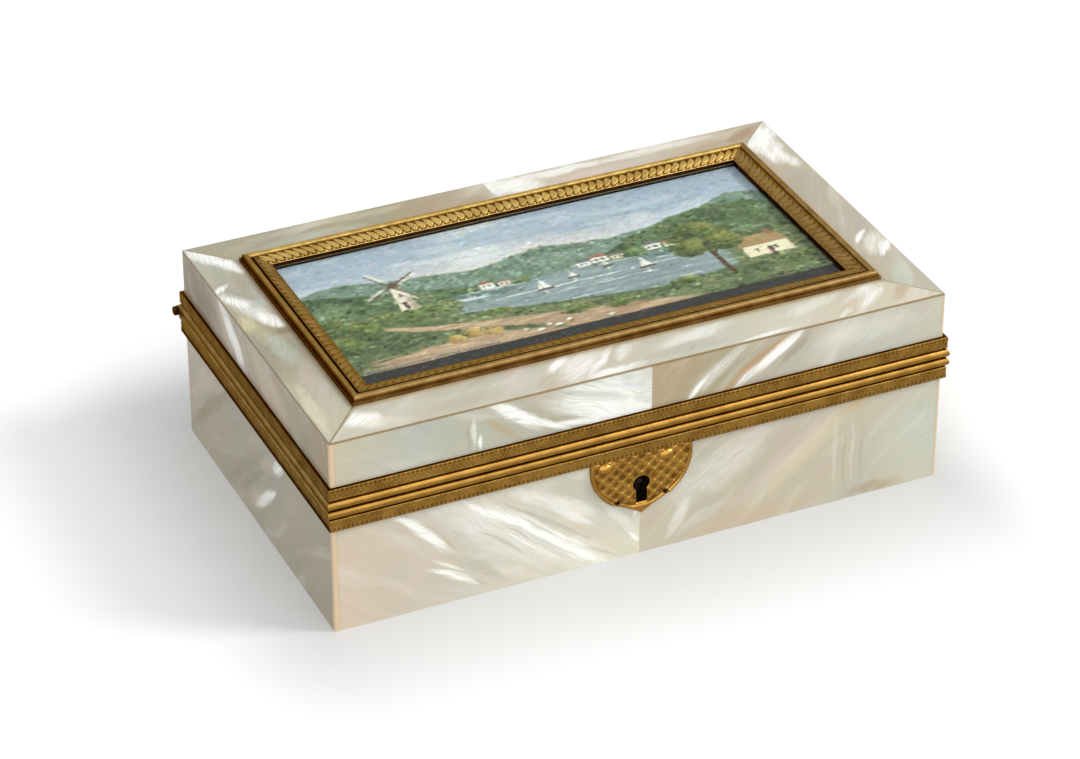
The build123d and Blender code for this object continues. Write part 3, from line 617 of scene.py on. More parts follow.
LID_FRONT_LEFT_STREAKS = (
    (-11, 48, 20, 9, -8, 0.95, WHITE), (-6, 43.5, 16, 3, -6, 1, WHITE),
    (-24, 46.5, 15, 2.6, -30, 0.6, linear(168, 158, 128)), (-35.5, 50, 12, 2.4, -36, 1, WHITE),
    (-28, 46.5, 14, 1.4, -30, 1, WHITE), (-38.5, 46.5, 8, 2, -38, 0.6, linear(180, 160, 118)),
    (-18, 43.2, 12, 1.4, -12, 0.9, WHITE), (-45.6, 47, 1, 6, 0, 0.5, WHITE),
    (-44, 43.6, 0.9, 3.2, 0, 0.9, WHITE), (-47, 46, 0.8, 6, 0, 0.45, TAN),
    (-10, 48, 10, 1.2, -10, 0.4, GREEN), (-15, 50.5, 12, 1.3, -16, 0.4, SHADE),
    (-21, 45.4, 9, 0.9, -18, 0.35, SHADE), (-4, 50, 8, 1, -14, 0.4, BLUE),
    (-66, 46, 16, 7, 0, 0.15, BLUE),
)
LID_FRONT_RIGHT_STREAKS = (
    (10, 49, 13, 5, 34, 0.6, TAN), (20, 48.5, 16, 2.6, 36, 0.5, WHITE),
    (29.5, 47.6, 16, 2.4, 37, 0.9, linear(184, 150, 106)), (33.6, 48.3, 15, 2.3, 37, 1, WHITE),
    (24.5, 47.8, 13, 0.8, 37, 0.45, SHADE), (16.5, 47, 9, 0.7, 38, 0.4, WHITE),
    (38, 50.6, 8, 1.4, 37, 1, WHITE), (13.6, 44, 6, 1, 42, 1, WHITE),
    (40.5, 49, 8, 1.8, 40, 0.55, linear(150, 136, 112)), (60, 49, 20, 5, 0, 0.3, WHITE),
)
BASE_LEFT_STREAKS = (
    (33, 17, 30, 3, -42, 0.6, linear(146, 126, 90)), (38, 20, 22, 3.4, -42, 0.35, CREAM),
    (8, 14, 26, 3, -40, 0.35, linear(136, 122, 100)), (3, 13, 18, 2, -40, 0.4, linear(128, 122, 102)),
    (-8.5, 23.5, 10, 3.4, -36, 0.4, CREAM), (-14.4, 25.8, 6, 2.8, -38, 0.9, WHITE),
    (-14.6, 26, 4, 1.6, -38, 1, WHITE), (1, 8, 11, 3.6, -40, 0.45, CREAM),
    (-5, 11.5, 13, 2.4, -40, 0.9, WHITE), (-7.5, 13.5, 8, 1.3, -40, 1, WHITE),
)
LID_LEFT_STREAKS = (
    (19, 51, 12, 4.5, 36, 0.6, ROSE), (16, 49.5, 14, 4.2, 36, 0.9, WHITE),
    (12, 46.8, 11, 3.4, 36, 1, WHITE), (13, 47.6, 9, 1.2, 36, 1, WHITE),
    (-10, 48, 18, 6, 14, 0.4, CREAM), (-24, 46, 8, 5, 80, 0.3, linear(150, 158, 142)),
    (-36, 46, 12, 5, 80, 0.3, linear(132, 126, 106)), (36, 47, 16, 9, 0, 0.7, linear(116, 92, 58)),
)
SIDE_STREAKS = (
    (-27, 16, 30, 8, 36, 0.5, WHITE), (-30, 18, 26, 3.2, 36, 0.9, WHITE),
    (-24, 12, 18, 1.6, 38, 1, WHITE), (-14, 8, 14, 1.4, 40, 0.7, WHITE),
    (16, 22, 24, 3.4, 30, 0.6, WHITE), (28, 10, 24, 3, 34, 0.5, YELLOW),
    (6, 14, 14, 2.4, 44, 0.4, SHADE), (20, 47.5, 16, 2.4, -30, 0.9, WHITE),
    (-22, 47, 16, 4, -34, 0.7, WHITE),
)
BACK_STREAKS = (
    (-46, 16, 34, 8, 38, 0.5, WHITE), (-48, 18, 30, 3.2, 38, 0.8, WHITE),
    (-42, 12, 18, 1.6, 36, 1, WHITE), (-60, 10, 16, 1.6, 34, 0.7, WHITE),
    (-20, 16, 24, 3, 44, 0.5, YELLOW), (38, 14, 30, 7, -34, 0.5, WHITE),
    (34, 18, 28, 3, -34, 0.8, WHITE), (52, 9, 20, 1.6, -38, 0.8, WHITE),
    (14, 12, 16, 2.8, -40, 0.4, SHADE), (30, 47.5, 20, 3, 30, 0.9, WHITE),
    (-34, 47.5, 20, 3, -28, 0.9, WHITE), (-60, 46.5, 14, 2.6, -30, 0.6, ROSE),
)
FRONT_BORDER_LEFT_STREAKS = (
    (-14, -42, 13, 5, 40, 0.7, WHITE), (-18.5, -39.6, 7, 2, 38, 1, WHITE),
    (-9, -42.5, 10, 1.4, 46, 0.8, WHITE), (-2, -40.5, 6, 2.6, 50, 0.6, WHITE),
    (-8, -48, 12, 2.6, 4, 0.9, WHITE), (-72, -42.4, 9, 5, -34, 1, WHITE),
    (-67, -45.5, 8, 2.6, -10, 0.5, CREAM), (-48, -46, 18, 4, 6, 0.4, TAN),
    (-31, -42, 9, 4, 60, 0.35, ROSE), (-25, -46, 8, 3, 60, 0.4, TAN),
    (-44, -39.5, 20, 2.6, 0, 0.35, SHADE),
)
FRONT_BORDER_RIGHT_STREAKS = (
    (64, -41.5, 10, 4.5, 36, 0.85, WHITE), (57, -46.6, 5, 1.3, 42, 0.9, WHITE),
    (59.5, -44.5, 9, 2.6, 42, 0.7, linear(184, 154, 110)),
    (74, -43, 8, 2.6, 42, 0.7, linear(178, 148, 108)), (50, -40, 14, 3.4, 20, 0.4, WHITE),
    (18, -41, 16, 3.4, 10, 0.6, WHITE), (12, -46, 18, 3, 0, 0.35, SHADE),
    (33, -48.4, 10, 1.2, 4, 0.7, WHITE),
)
BACK_BORDER_LEFT_STREAKS = (
    (-67, 43, 12, 3, -34, 0.6, SHADE), (-42, 47.4, 30, 2.6, 0, 0.3, CREAM),
    (-14, 43.5, 20, 5, 4, 0.55, linear(168, 146, 112)), (-6, 42, 10, 3, 20, 0.5, linear(160, 132, 96)),
    (-50, 42, 20, 3, 0, 0.35, GREEN),
)
BACK_BORDER_RIGHT_STREAKS = (
    (6, 45, 12, 6, -14, 1, WHITE), (22, 47, 18, 2.6, 0, 0.8, WHITE), (48, 47.4, 22, 2.6, 0, 0.6, WHITE),
    (32, 42, 26, 3, 2, 0.4, ROSE), (62, 43.4, 18, 4, 6, 0.6, linear(172, 144, 108)),
    (73, 44, 9, 3.4, 34, 0.8, linear(150, 116, 78)),
)
LEFT_BORDER_STREAKS = (
    (-78.6, 44, 10, 4, 128, 0.9, WHITE), (-74.6, 37.5, 7, 3, 120, 0.9, WHITE),
    (-78.5, 33, 9, 2.8, 84, 0.6, linear(150, 156, 132)),
    (-74.4, 29, 7, 2.8, 96, 0.6, linear(150, 142, 112)), (-80.4, 27, 4, 1.6, 40, 0.8, WHITE),
    (-77.4, 15.5, 15, 4.2, 112, 0.62, WHITE), (-79.4, 20, 6, 2.4, 118, 0.7, WHITE),
    (-74.6, 8.6, 6, 3.2, 112, 1, WHITE), (-74.6, 17.2, 4.6, 3, 30, 0.9, linear(176, 182, 172)),
    (-80.4, 9.5, 7, 2.6, 84, 0.8, linear(212, 204, 156)),
    (-79, 4, 8, 2.8, 80, 0.5, linear(190, 182, 136)), (-73.2, 2.2, 4, 2.6, 0, 0.8, linear(120, 92, 58)),
    (-77, -6, 12, 4, 96, 0.5, GREEN), (-76, -24, 14, 4, 86, 0.3, ROSE),
    (-80.4, -34, 16, 2.6, 88, 0.6, CREAM),
)
RIGHT_BORDER_STREAKS = (
    (78, 42, 10, 5, 50, 1, WHITE), (77.4, 33, 9, 4.6, 74, 0.95, WHITE),
    (74.4, 37, 5, 2.6, 60, 0.8, WHITE), (79.6, 27, 6, 2.6, 90, 0.7, WHITE),
    (76, 12, 18, 4, 88, 0.4, SHADE), (77, -16, 5, 1.3, 48, 1, WHITE), (80, -23, 6, 2, 50, 1, WHITE),
    (78.5, -20, 9, 3.4, 52, 0.6, WHITE), (76.6, -38, 12, 3.4, 70, 0.5, GREEN),
)

BASE_FRONT_LEFT_TONES = shades(
    (-82, 205, 188, 166), (-62, 200, 188, 170), (-36, 206, 201, 184), (-2, 217, 212, 189),
)
BASE_FRONT_RIGHT_TONES = shades(
    (-1, 190, 182, 161), (30, 186, 178, 157), (60, 189, 182, 160), (82, 196, 195, 176),
)
LID_FRONT_LEFT_TONES = shades(
    (-82, 190, 184, 158), (-60, 180, 181, 164), (-30, 182, 177, 157), (0, 196, 198, 186),
)
LID_FRONT_RIGHT_TONES = shades(
    (2, 167, 149, 112), (30, 171, 156, 121), (48, 194, 190, 174), (82, 192, 190, 172),
)
SIDE_TONES = shades(
    (-48, 208, 198, 176), (-20, 202, 196, 176), (20, 200, 192, 172), (48, 212, 204, 184),
)
LID_SIDE_TONES = shades(
    (-48, 180, 168, 142), (-24, 198, 182, 156), (10, 196, 182, 166), (48, 156, 130, 96),
)
# The left plates' tones are darker than the right's as painted shade, the left side lying in shade
BASE_LEFT_SHADED_TONES = shades(
    (-48, 162, 149, 127), (-20, 168, 161, 142), (20, 168, 159, 141), (48, 176, 166, 144),
)
LID_LEFT_SHADED_TONES = shades(
    (-48, 150, 136, 103), (-24, 168, 153, 128), (10, 166, 152, 134), (48, 130, 103, 66),
)
BORDER_TONES = shades(
    (-80, 190, 186, 168), (-40, 188, 182, 162), (0, 190, 184, 164), (40, 195, 192, 169),
    (80, 198, 189, 163),
)
BACK_BORDER_TONES = shades(
    (-80, 146, 135, 99), (-20, 141, 129, 91), (10, 190, 181, 160), (50, 184, 171, 146),
    (80, 168, 146, 112),
)
LEFT_BORDER_TONES = shades(
    (-48, 180, 174, 148), (-10, 131, 122, 94), (10, 141, 132, 103), (48, 172, 168, 150),
)
RIGHT_BORDER_TONES = shades(
    (-48, 180, 170, 146), (-10, 174, 162, 138), (20, 172, 158, 132), (48, 190, 180, 160),
)

# The beige strips at the plates' corner edges are a painted highlight on their rounded arris
FRONT_SEAMS = (("x", -1, 81.2, ARRIS_PAINTED_HIGHLIGHT, 0.12), ("x", 1, 81.7, ARRIS_PAINTED_HIGHLIGHT, 0.12))
LID_SEAMS = FRONT_SEAMS + (("z", 1, 53.76, GLUE_FADED, 0.8),)
SIDE_SEAMS = (("y", -1, 48.3, ARRIS_PAINTED_HIGHLIGHT, 0.2),)
LID_SIDE_SEAMS = SIDE_SEAMS + (("z", 1, 53.7, GLUE_GREY, 0.5),)
FRONT_BORDER_SEAMS = (("y", -1, 49.3, GLUE_FADED, 0.8),)
END_BORDER_SEAMS = (("x", -1, 82.35, GLUE_GREY, 0.5),)


# Plates as node, tones, angle of the grain, streaks and seams
NACRE_FRONTS = (
    ("base_nacre_front_left", BASE_FRONT_LEFT_TONES, -40, BASE_FRONT_LEFT_STREAKS, FRONT_SEAMS),
    ("base_nacre_front_right", BASE_FRONT_RIGHT_TONES, 36, BASE_FRONT_RIGHT_STREAKS, FRONT_SEAMS),
    ("lid_nacre_front_left", LID_FRONT_LEFT_TONES, -24, LID_FRONT_LEFT_STREAKS, LID_SEAMS),
    ("lid_nacre_front_right", LID_FRONT_RIGHT_TONES, 36, LID_FRONT_RIGHT_STREAKS, LID_SEAMS),
)
NACRE_ENDS = (
    ("base_nacre_left", BASE_LEFT_SHADED_TONES, -40, BASE_LEFT_STREAKS, SIDE_SEAMS),
    ("lid_nacre_left", LID_LEFT_SHADED_TONES, 36, LID_LEFT_STREAKS, LID_SIDE_SEAMS),
    ("base_nacre_right", SIDE_TONES, 34, SIDE_STREAKS, SIDE_SEAMS),
    ("lid_nacre_right", LID_SIDE_TONES, -30, SIDE_STREAKS, LID_SIDE_SEAMS),
)
NACRE_BACKS = (
    ("base_nacre_back", BORDER_TONES, 36, BACK_STREAKS, FRONT_SEAMS),
    ("lid_nacre_back", BORDER_TONES, -32, BACK_STREAKS, LID_SEAMS),
)
NACRE_BORDERS = (
    ("border_front_left", BORDER_TONES, 24, FRONT_BORDER_LEFT_STREAKS, FRONT_BORDER_SEAMS),
    ("border_front_right", BORDER_TONES, 38, FRONT_BORDER_RIGHT_STREAKS, FRONT_BORDER_SEAMS),
    ("border_back_left", BACK_BORDER_TONES, 4, BACK_BORDER_LEFT_STREAKS, ()),
    ("border_back_right", BACK_BORDER_TONES, 8, BACK_BORDER_RIGHT_STREAKS, ()),
    ("border_left", LEFT_BORDER_TONES, 76, LEFT_BORDER_STREAKS, END_BORDER_SEAMS),
    ("border_right", RIGHT_BORDER_TONES, 62, RIGHT_BORDER_STREAKS, ()),
)
# The two axes that plates lie in, and those plates
NACRE = (("xz", NACRE_FRONTS), ("yz", NACRE_ENDS), ("xz", NACRE_BACKS), ("xy", NACRE_BORDERS))


def dress_nacre():
    """One material for each plate, since no two plates are cut alike."""
    seed = 0.0
    for plane, plates in NACRE:
        for node, tones, grain, streaks, seams in plates:
            seed += 13.0
            dress(pearl(f"nacre_{node}", plane, tones, grain, streaks, seed, seams), node)


def signed_volume(points, faces):
    """Volume inside a closed mesh, negative where its faces look inward."""
    total = 0.0
    for face in faces:
        corners = points[face]
        crossed = np.cross(corners[1:-1], corners[2:])
        total += float((crossed @ corners[0]).sum())
    return total / 6


def link(thing):
    """Puts a new object into the scene."""
    bpy.context.scene.collection.objects.link(thing)


def new_piece(name, points, faces, material, body, relief=None):
    """A closed mesh piece from points in millimetres, riding on a body."""
    points = np.asarray(points)
    if signed_volume(points, faces) < 0:
        faces = [face[::-1] for face in faces]
    mesh = bpy.data.meshes.new(name)
    mesh.from_pydata((points * MM).tolist(), [], faces)
    mesh.update()
    if relief is not None:
        attribute = mesh.attributes.new("relief", "FLOAT", "POINT")
        attribute.data.foreach_set("value", np.asarray(relief, np.float32).ravel())
    mesh.shade_smooth()
    mesh.materials.append(material)
    piece = bpy.data.objects.new(name, mesh)
    link(piece)
    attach(piece, body)
    return piece


def grid_faces(rows, columns):
    """Quads between the points of a grid, row by row."""
    corner = (np.arange(rows - 1)[:, None] * columns + np.arange(columns - 1)[None, :]).ravel()
    return np.stack([corner, corner + 1, corner + columns + 1, corner + columns], axis=1).tolist()


def closed_strip(front, back_step):
    """Points and faces of a relief strip: its front as a grid (rows across, columns along), a flat
    back one step behind its two long sides, and capped ends."""
    rows, columns = front.shape[:2]
    count = rows * columns
    backs = front[0] + back_step, front[-1] + back_step
    points = np.concatenate([front.reshape(-1, 3), *backs])
    faces = grid_faces(rows, columns)
    low, high = count, count + columns
    top = (rows - 1) * columns
    for i in range(columns - 1):
        faces.append([i + 1, i, low + i, low + i + 1])
        faces.append([top + i, top + i + 1, high + i + 1, high + i])
        faces.append([low + i + 1, low + i, high + i, high + i + 1])
    first = [r * columns for r in range(rows)]
    last = [r * columns + columns - 1 for r in range(rows)]
    faces.append(first + [high, low])
    faces.append(last[::-1] + [low + columns - 1, high + columns - 1])
    return points, faces


def hump(distance, width):
    """A smooth bump: 1 at distance 0 and 0 from width on."""
    return ease(1 - np.abs(distance) / width)


def scale_relief(along, across, pitch, width):
    """Chased band of a rim: three rows of small overlapping leaves, each with a rib, and a row of
    beads along the outer edge. From 0 to 1."""
    height = 0.22 * np.ones(along.shape)
    for row, middle in enumerate((0.45, 1.2, 1.95)):
        turn = along / pitch + 0.5 * (row % 2)
        side = (turn - np.round(turn)) * pitch
        reach = (side / (0.54 * pitch)) ** 2 + ((across - middle) / 0.62) ** 2
        leaf = np.sqrt(np.clip(1 - reach, 0, 1)) * (0.75 + 0.25 * (across - middle) / 0.62)
        rib = 0.3 * hump(side, 0.13) * (leaf > 0)
        height = np.maximum(height, leaf - rib)
    turn = along / pitch
    bead_side = (turn - np.round(turn)) * pitch
    bead = np.sqrt(np.clip(1 - (bead_side**2 + (across - width + 0.48) ** 2) / 0.4**2, 0, 1))
    fillet = 0.6 * hump(across - 0.04, 0.2)
    outer = 0.42 * hump(across - width + 0.3, 0.5)
    worn = 0.88 + 0.12 * slow_waves(along, across, 3, count=24, low=0.9, high=5.0)
    return np.clip(np.maximum.reduce([height, 0.75 * bead, fillet, outer]) * worn, 0, 1)


def tongue_relief(along, across, pitch, width):
    """Leaf band of the picture frame: leaning pointed leaves with a rib, a fleck between their
    tips, and a lip on each side. From 0 to 1."""
    share = across / width
    turn = along / pitch + 0.35 * np.sin(math.pi * share)
    side = (turn - np.round(turn)) * pitch
    half = 0.5 * pitch * np.sin(math.pi * np.clip((share - 0.08) / 0.84, 0, 1)) ** 0.7
    leaf = np.sqrt(np.clip(1 - (side / np.maximum(half, 0.02)) ** 2, 0, 1))
    leaf = leaf * (0.6 + 0.4 * np.cos(math.pi * (share - 0.35)))
    rib = 0.35 * hump(side, 0.22)
    between = (turn - 0.5 - np.round(turn - 0.5)) * pitch
    off_tips = (share - 0.86) * width
    fleck = 0.6 * np.sqrt(np.clip(1 - (between / 0.42) ** 2 - (off_tips / 0.42) ** 2, 0, 1))
    inner_lip = 0.8 * hump((1 - share) * width, 0.3)
    outer_lip = 0.6 * hump(share * width, 0.24)
    return np.clip(np.maximum.reduce([leaf - rib, fleck, inner_lip, outer_lip]), 0, 1)


# The sides of the box, as the way out of each
SIDES = {"front": (0, -1), "back": (0, 1), "left": (-1, 0), "right": (1, 0)}
# Distance of the points along a band, and how far the reliefs stand proud
BAND_STEP = 0.15
CHASING_HEIGHT = 0.28
LEAF_HEIGHT = 0.24
# Bands as relief, width, rows of points, margin, how soon the relief is full, and pitch
CHASING = (scale_relief, BAND_FAR - BAND_NEAR, 23, 0.03, 0.12, 1.2)
LEAVES = (tongue_relief, FRAME_BAND, 21, 0.04, 0.1, 2.2)


def whole_units(length, pitch):
    """The pitch nearest to the wanted one that fits a whole number of times."""
    return length / round(length / pitch)


def mitred_band(name, body, side, halves, middle_y, turn_at, band, rise, material):
    """A band of relief along one side of a rim or frame of those half sizes, mitred at its ends.
    Its pattern is as long as the side is at turn_at outside them. rise(across, relief) gives how
    far out each point lies, how high, and the step to the band's back."""
    relief_of, width, rows, margin, fade, pitch = band
    out = np.array([*SIDES[side], 0.0])
    along_axis = np.array([-out[1], out[0], 0.0])
    half, face = halves[::-1] if out[0] else halves
    length = 2 * (half + turn_at)
    share = np.linspace(-0.5, 0.5, int(length / BAND_STEP) + 1)
    across = np.linspace(margin, width - margin, rows)
    along_grid, across_grid = np.meshgrid(share * length, across)
    relief = relief_of(along_grid, across_grid, whole_units(length, pitch), width)
    hold = ease(np.minimum(across, across[::-1]) / fade)[:, None]
    outward, height, back = rise(across_grid, relief * hold)
    front = (
        (2 * (half + outward) * share)[..., None] * along_axis
        + (face + outward)[..., None] * out
        + height[..., None] * np.array([0, 0, 1.0])
        + np.array([0, middle_y, 0])
    )
    points, faces = closed_strip(front, back[0] * out + np.array([0, 0, back[1]]))
    values = np.concatenate([relief.ravel(), np.zeros(2 * len(share))])
    return new_piece(name, points, faces, material, body, values)


def rim_band(body, up, side, material):
    """The chased band along one side of one rim."""

    def rise(across, relief):
        proud = BAND_PROUD + 0.02 + CHASING_HEIGHT * relief
        return proud, CLOSING + up * (BAND_NEAR + across), (-0.5, 0)

    name = f"{body}_rim_chasing_{side}"
    halves = HALF_WIDTH, HALF_DEPTH
    mitred_band(name, body, side, halves, 0, BAND_PROUD, CHASING, rise, material)


def frame_band(side, material):
    """The leaf band on one side of the picture frame."""

    def rise(across, relief):
        share = across / FRAME_BAND
        moulding = 1.85 - 1.1 * share + 0.6 * share * (1 - share)
        height = BODY_TOP + moulding + 0.02 + LEAF_HEIGHT * relief
        return FRAME_BAND - FRAME_WIDTH - across, height, (0, -0.45)

    name = f"picture_frame_leaves_{side}"
    halves = FRAME_HALF_X, FRAME_HALF_Y
    turn_at = FRAME_BAND / 2 - FRAME_WIDTH
    mitred_band(name, "lid", side, halves, FRAME_SHIFT, turn_at, LEAVES, rise, material)


# The escutcheon's shield, its top seen from the keyhole's centre
SHIELD_HALF = 13.6
SHIELD_TOP = 8.6
SHIELD_PROUD = 0.8
SHIELD_RINGS = 56


def arc_through(start, middle, end, count):
    """Points of the arc through three points, without the last."""
    (ax, ay), (bx, by), (cx, cy) = start, middle, end
    d = 2 * (ax * (by - cy) + bx * (cy - ay) + cx * (ay - by))
    a2, b2, c2 = ax * ax + ay * ay, bx * bx + by * by, cx * cx + cy * cy
    ux = (a2 * (by - cy) + b2 * (cy - ay) + c2 * (ay - by)) / d
    uy = (a2 * (cx - bx) + b2 * (ax - cx) + c2 * (bx - ax)) / d
    radius = math.hypot(ax - ux, ay - uy)
    angles = np.unwrap([math.atan2(y - uy, x - ux) for x, y in (start, middle, end)])
    turns = np.linspace(angles[0], angles[2], count, endpoint=False)
    return np.stack([ux + radius * np.cos(turns), uy + radius * np.sin(turns)], axis=1)


def escutcheon_outline():
    """The shield's edge, from its upper right corner down to the tip and up the left side, round
    the keyhole's centre."""
    shoulder = arc_through((SHIELD_HALF, SHIELD_TOP), (12.7, 1.4), (7.4, -4.7), 60)
    point = arc_through((6.8, -4.7), (3.7, -6.25), (0, -8.4), 30)
    right = np.concatenate([shoulder, point, [[0, -8.4]]])
    left = right[:-1][::-1] * (-1, 1)
    across = np.linspace(-SHIELD_HALF, SHIELD_HALF, 90)
    top = np.stack([across, np.full(90, SHIELD_TOP)], axis=1)[1:-1]
    return np.concatenate([right, left, top])


def keyhole_edge(angles):
    """Distance from the keyhole's centre to its edge at each angle."""
    down = KEYHOLE_Z - KEYHOLE_BOTTOM
    sine, cosine = np.sin(angles), np.cos(angles)
    to_bottom = np.where(sine < -1e-6, down / np.maximum(-sine, 1e-6), 1e9)
    to_side = KEYHOLE_SLOT / np.maximum(np.abs(cosine), 1e-6)
    slot = np.where(sine < 0, np.minimum(to_bottom, to_side), 0)
    return np.maximum(slot, KEYHOLE_RADIUS)


def escutcheon_relief(x, z, to_edge, to_keyhole):
    """Proud height over the plate: lattice of lozenges with a knob at each crossing, plain rim,
    lip under the keyhole, and a scroll in each upper corner."""
    ridges = []
    for turn in (-1, 1):
        phase = x / 3.5 + turn * z / 3.3
        ridges.append(hump((phase - np.round(phase)) * 2.4, 0.72))
    lattice = 0.15 * np.maximum(*ridges) + 0.16 * (ridges[0] * ridges[1]) ** 0.7
    field = ease((to_edge - 0.9) / 0.4) * ease((to_keyhole - 0.5) / 0.4) * ease((z + 5.2) / 0.8)
    rim = 0.26 * hump(to_edge - 0.45, 0.6)
    collar = 0.12 * hump(to_keyhole - 0.3, 0.45)
    lip = 0.36 * ease((-z - 5.5) / 0.9) * ease(to_edge / 0.8)
    height = np.maximum.reduce([lattice * field, rim, collar, lip])
    for middle in (-8.6, 8.0):
        eye = ((x - middle + 1.2) / 2.0) ** 2 + ((z - 6.8) / 1.35) ** 2
        tail_reach = np.clip((x - middle + 0.6) / 3.6, 0, 1)
        tail_z = 7.4 + 0.5 * np.sin(tail_reach * math.pi) - 0.5 * tail_reach
        tail = (1 - tail_reach) * hump(z - tail_z, 0.75) * (x > middle - 0.6)
        knob = 0.9 * np.sqrt(np.clip(1 - eye, 0, 1))
        height = np.maximum.reduce([height, knob, 0.5 * tail])
    return height


def build_escutcheon(material):
    """The shield as a ring of points between the keyhole and its outer edge."""
    outline = escutcheon_outline()
    outline = outline[np.argsort(-np.arctan2(outline[:, 1], outline[:, 0]))]
    start, end = outline, np.roll(outline, -1, axis=0)
    pieces = np.maximum(1, (np.linalg.norm(end - start, axis=1) / 0.16).astype(int))
    edge = np.concatenate(
        [a + (b - a) * np.arange(n)[:, None] / n for a, b, n in zip(start, end, pieces)]
    )
    angles = np.arctan2(edge[:, 1], edge[:, 0])
    outer = np.hypot(edge[:, 0], edge[:, 1])
    inner = keyhole_edge(angles)
    even = np.linspace(0, 1, SHIELD_RINGS)
    share = ease(even) * 0.35 + even * 0.65
    radius = inner + (outer - inner) * share[:, None]
    x, z = radius * np.cos(angles), radius * np.sin(angles)
    flat = np.stack([x.ravel(), z.ravel()], axis=1)
    nearest = np.min(
        [np.hypot(flat[:, 0] - px, flat[:, 1] - pz) for px, pz in edge[::3]], axis=0
    ).reshape(x.shape)
    to_top = SHIELD_TOP - z
    to_edge = np.where(to_top < nearest + 0.2, np.maximum(nearest, 2.0), nearest)
    to_keyhole = radius - inner
    proud = escutcheon_relief(x, z, to_edge, to_keyhole)
    rounding = 0.18 * (1 - ease(np.minimum(nearest, to_keyhole) / 0.3))
    y = -(HALF_DEPTH + SHIELD_PROUD + proud - rounding)
    count = len(edge)
    front = np.stack([x + LOCK_X, y, z + KEYHOLE_Z], axis=-1)
    inner_back, outer_back = front[0].copy(), front[-1].copy()
    inner_back[:, 1] = outer_back[:, 1] = -HALF_DEPTH
    points = np.concatenate([front.reshape(-1, 3), inner_back, outer_back])
    faces = []
    following = np.roll(np.arange(count), -1)
    for ring in range(SHIELD_RINGS - 1):
        here, there = ring * count + np.arange(count), ring * count + following
        quads = np.stack([here, there, there + count, here + count], axis=1)
        faces += quads[:, ::-1].tolist()
    last, inside, outside = (count * (SHIELD_RINGS + step) for step in (-1, 0, 1))
    for i, j in zip(range(count), following.tolist()):
        faces.append([i, j, inside + j, inside + i])
        faces.append([last + j, last + i, outside + i, outside + j])
        faces.append([inside + i, inside + j, outside + j, outside + i])
    relief = np.concatenate([np.clip(0.2 + proud / 0.4, 0, 1).ravel(), np.ones(2 * count)])
    name = "escutcheon_chased"
    piece = new_piece(name, points, faces, material, "base", relief)
    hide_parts("escutcheon")


def dress_rims():
    """Gilding of the rims and the chased bands laid on them, with a darker copy along the left side as
    painted shade.
    """
    bright = (
        gilt("gilt_brass_rim", rim_patina, 0.36, 0.3),
        gilt("gilt_brass_chased", relief_patina(0.7), 0.4, 0.75, **GILT_CHASED),
    )
    shaded_left = (
        gilt("gilt_brass_shaded", rim_patina, 0.36, **GILT_SHADED_LEFT),
        gilt("gilt_brass_shaded_chased", relief_patina(0.8, 1.3), 0.42, **GILT_SHADED_LEFT),
    )
    for side in SIDES:
        rim, chased = shaded_left if side == "left" else bright
        for body, up in (("base", -1), ("lid", 1)):
            dress(rim, f"{body}_rim_{side}")
            rim_band(body, up, side, chased)


def dress_frame():
    """Gilding of the picture frame and the leaf bands laid on it, with a paler copy along the back as
    painted light.
    """
    others = (
        gilt("gilt_brass_moulding", frame_patina_and_shade, 0.32, **FRAME_GILT),
        gilt("gilt_brass_leaves", relief_patina(0.6), 0.42, **FRAME_GILT),
    )
    back = (
        gilt("gilt_brass_moulding_lit", frame_patina_and_shade, 0.32, **FRAME_GILT_LIT),
        gilt("gilt_brass_leaves_lit", relief_patina(0.85), 0.42, **FRAME_GILT_LIT),
    )
    for side in SIDES:
        moulding, leaves = back if side == "back" else others
        dress(moulding, f"picture_frame_{side}")
        frame_band(side, leaves)


def dress_fittings():
    """The escutcheon, the hinge and the lock."""
    build_escutcheon(gilt("gilt_brass_plate", relief_patina(0.6), 0.26, **GILT_PLATE))
    worn = gilt("gilt_brass_worn", None, 0.34, 0.8, GILT_MIDDLE)
    dress(worn, "base_hinge_leaf", "lid_hinge_leaf")
    # Dark gilding: painted shade on the hinge pin, which sits in shade at the back, and on the
    # escutcheon's pins
    dark = gilt("gilt_brass_dark", None, 0.46, 0.9, GILT_BROWN, linear(34, 24, 12))
    dress(dark, "hinge_pin", "escutcheon_pins")
    dress(plain_brass(), "strike_plate", "lock_bolt")
    dress(shaded_lock_brass(), "lock_case")
    steel = dull_steel("steel_dull", linear(74, 73, 76), linear(116, 114, 112))
    dress(steel, "lock_spring", "lock_screws", "strike_screws")
    # The key pin is painted nearly black as shade, so that only a little of it shows in the keyhole
    dress(dull_steel("steel_painted_shade", linear(26, 25, 28), linear(54, 52, 56)), "key_pin")


def dress_boards():
    """Wood of the carcass and paper of the tray."""
    boards = (node for node in cad if node.startswith(("base_board", "lid_board")))
    dress(carcass_wood(), *boards)
    dress(tray_paper(), "tray_base", "tray_frame", "tray_dividers", "tray_supports")


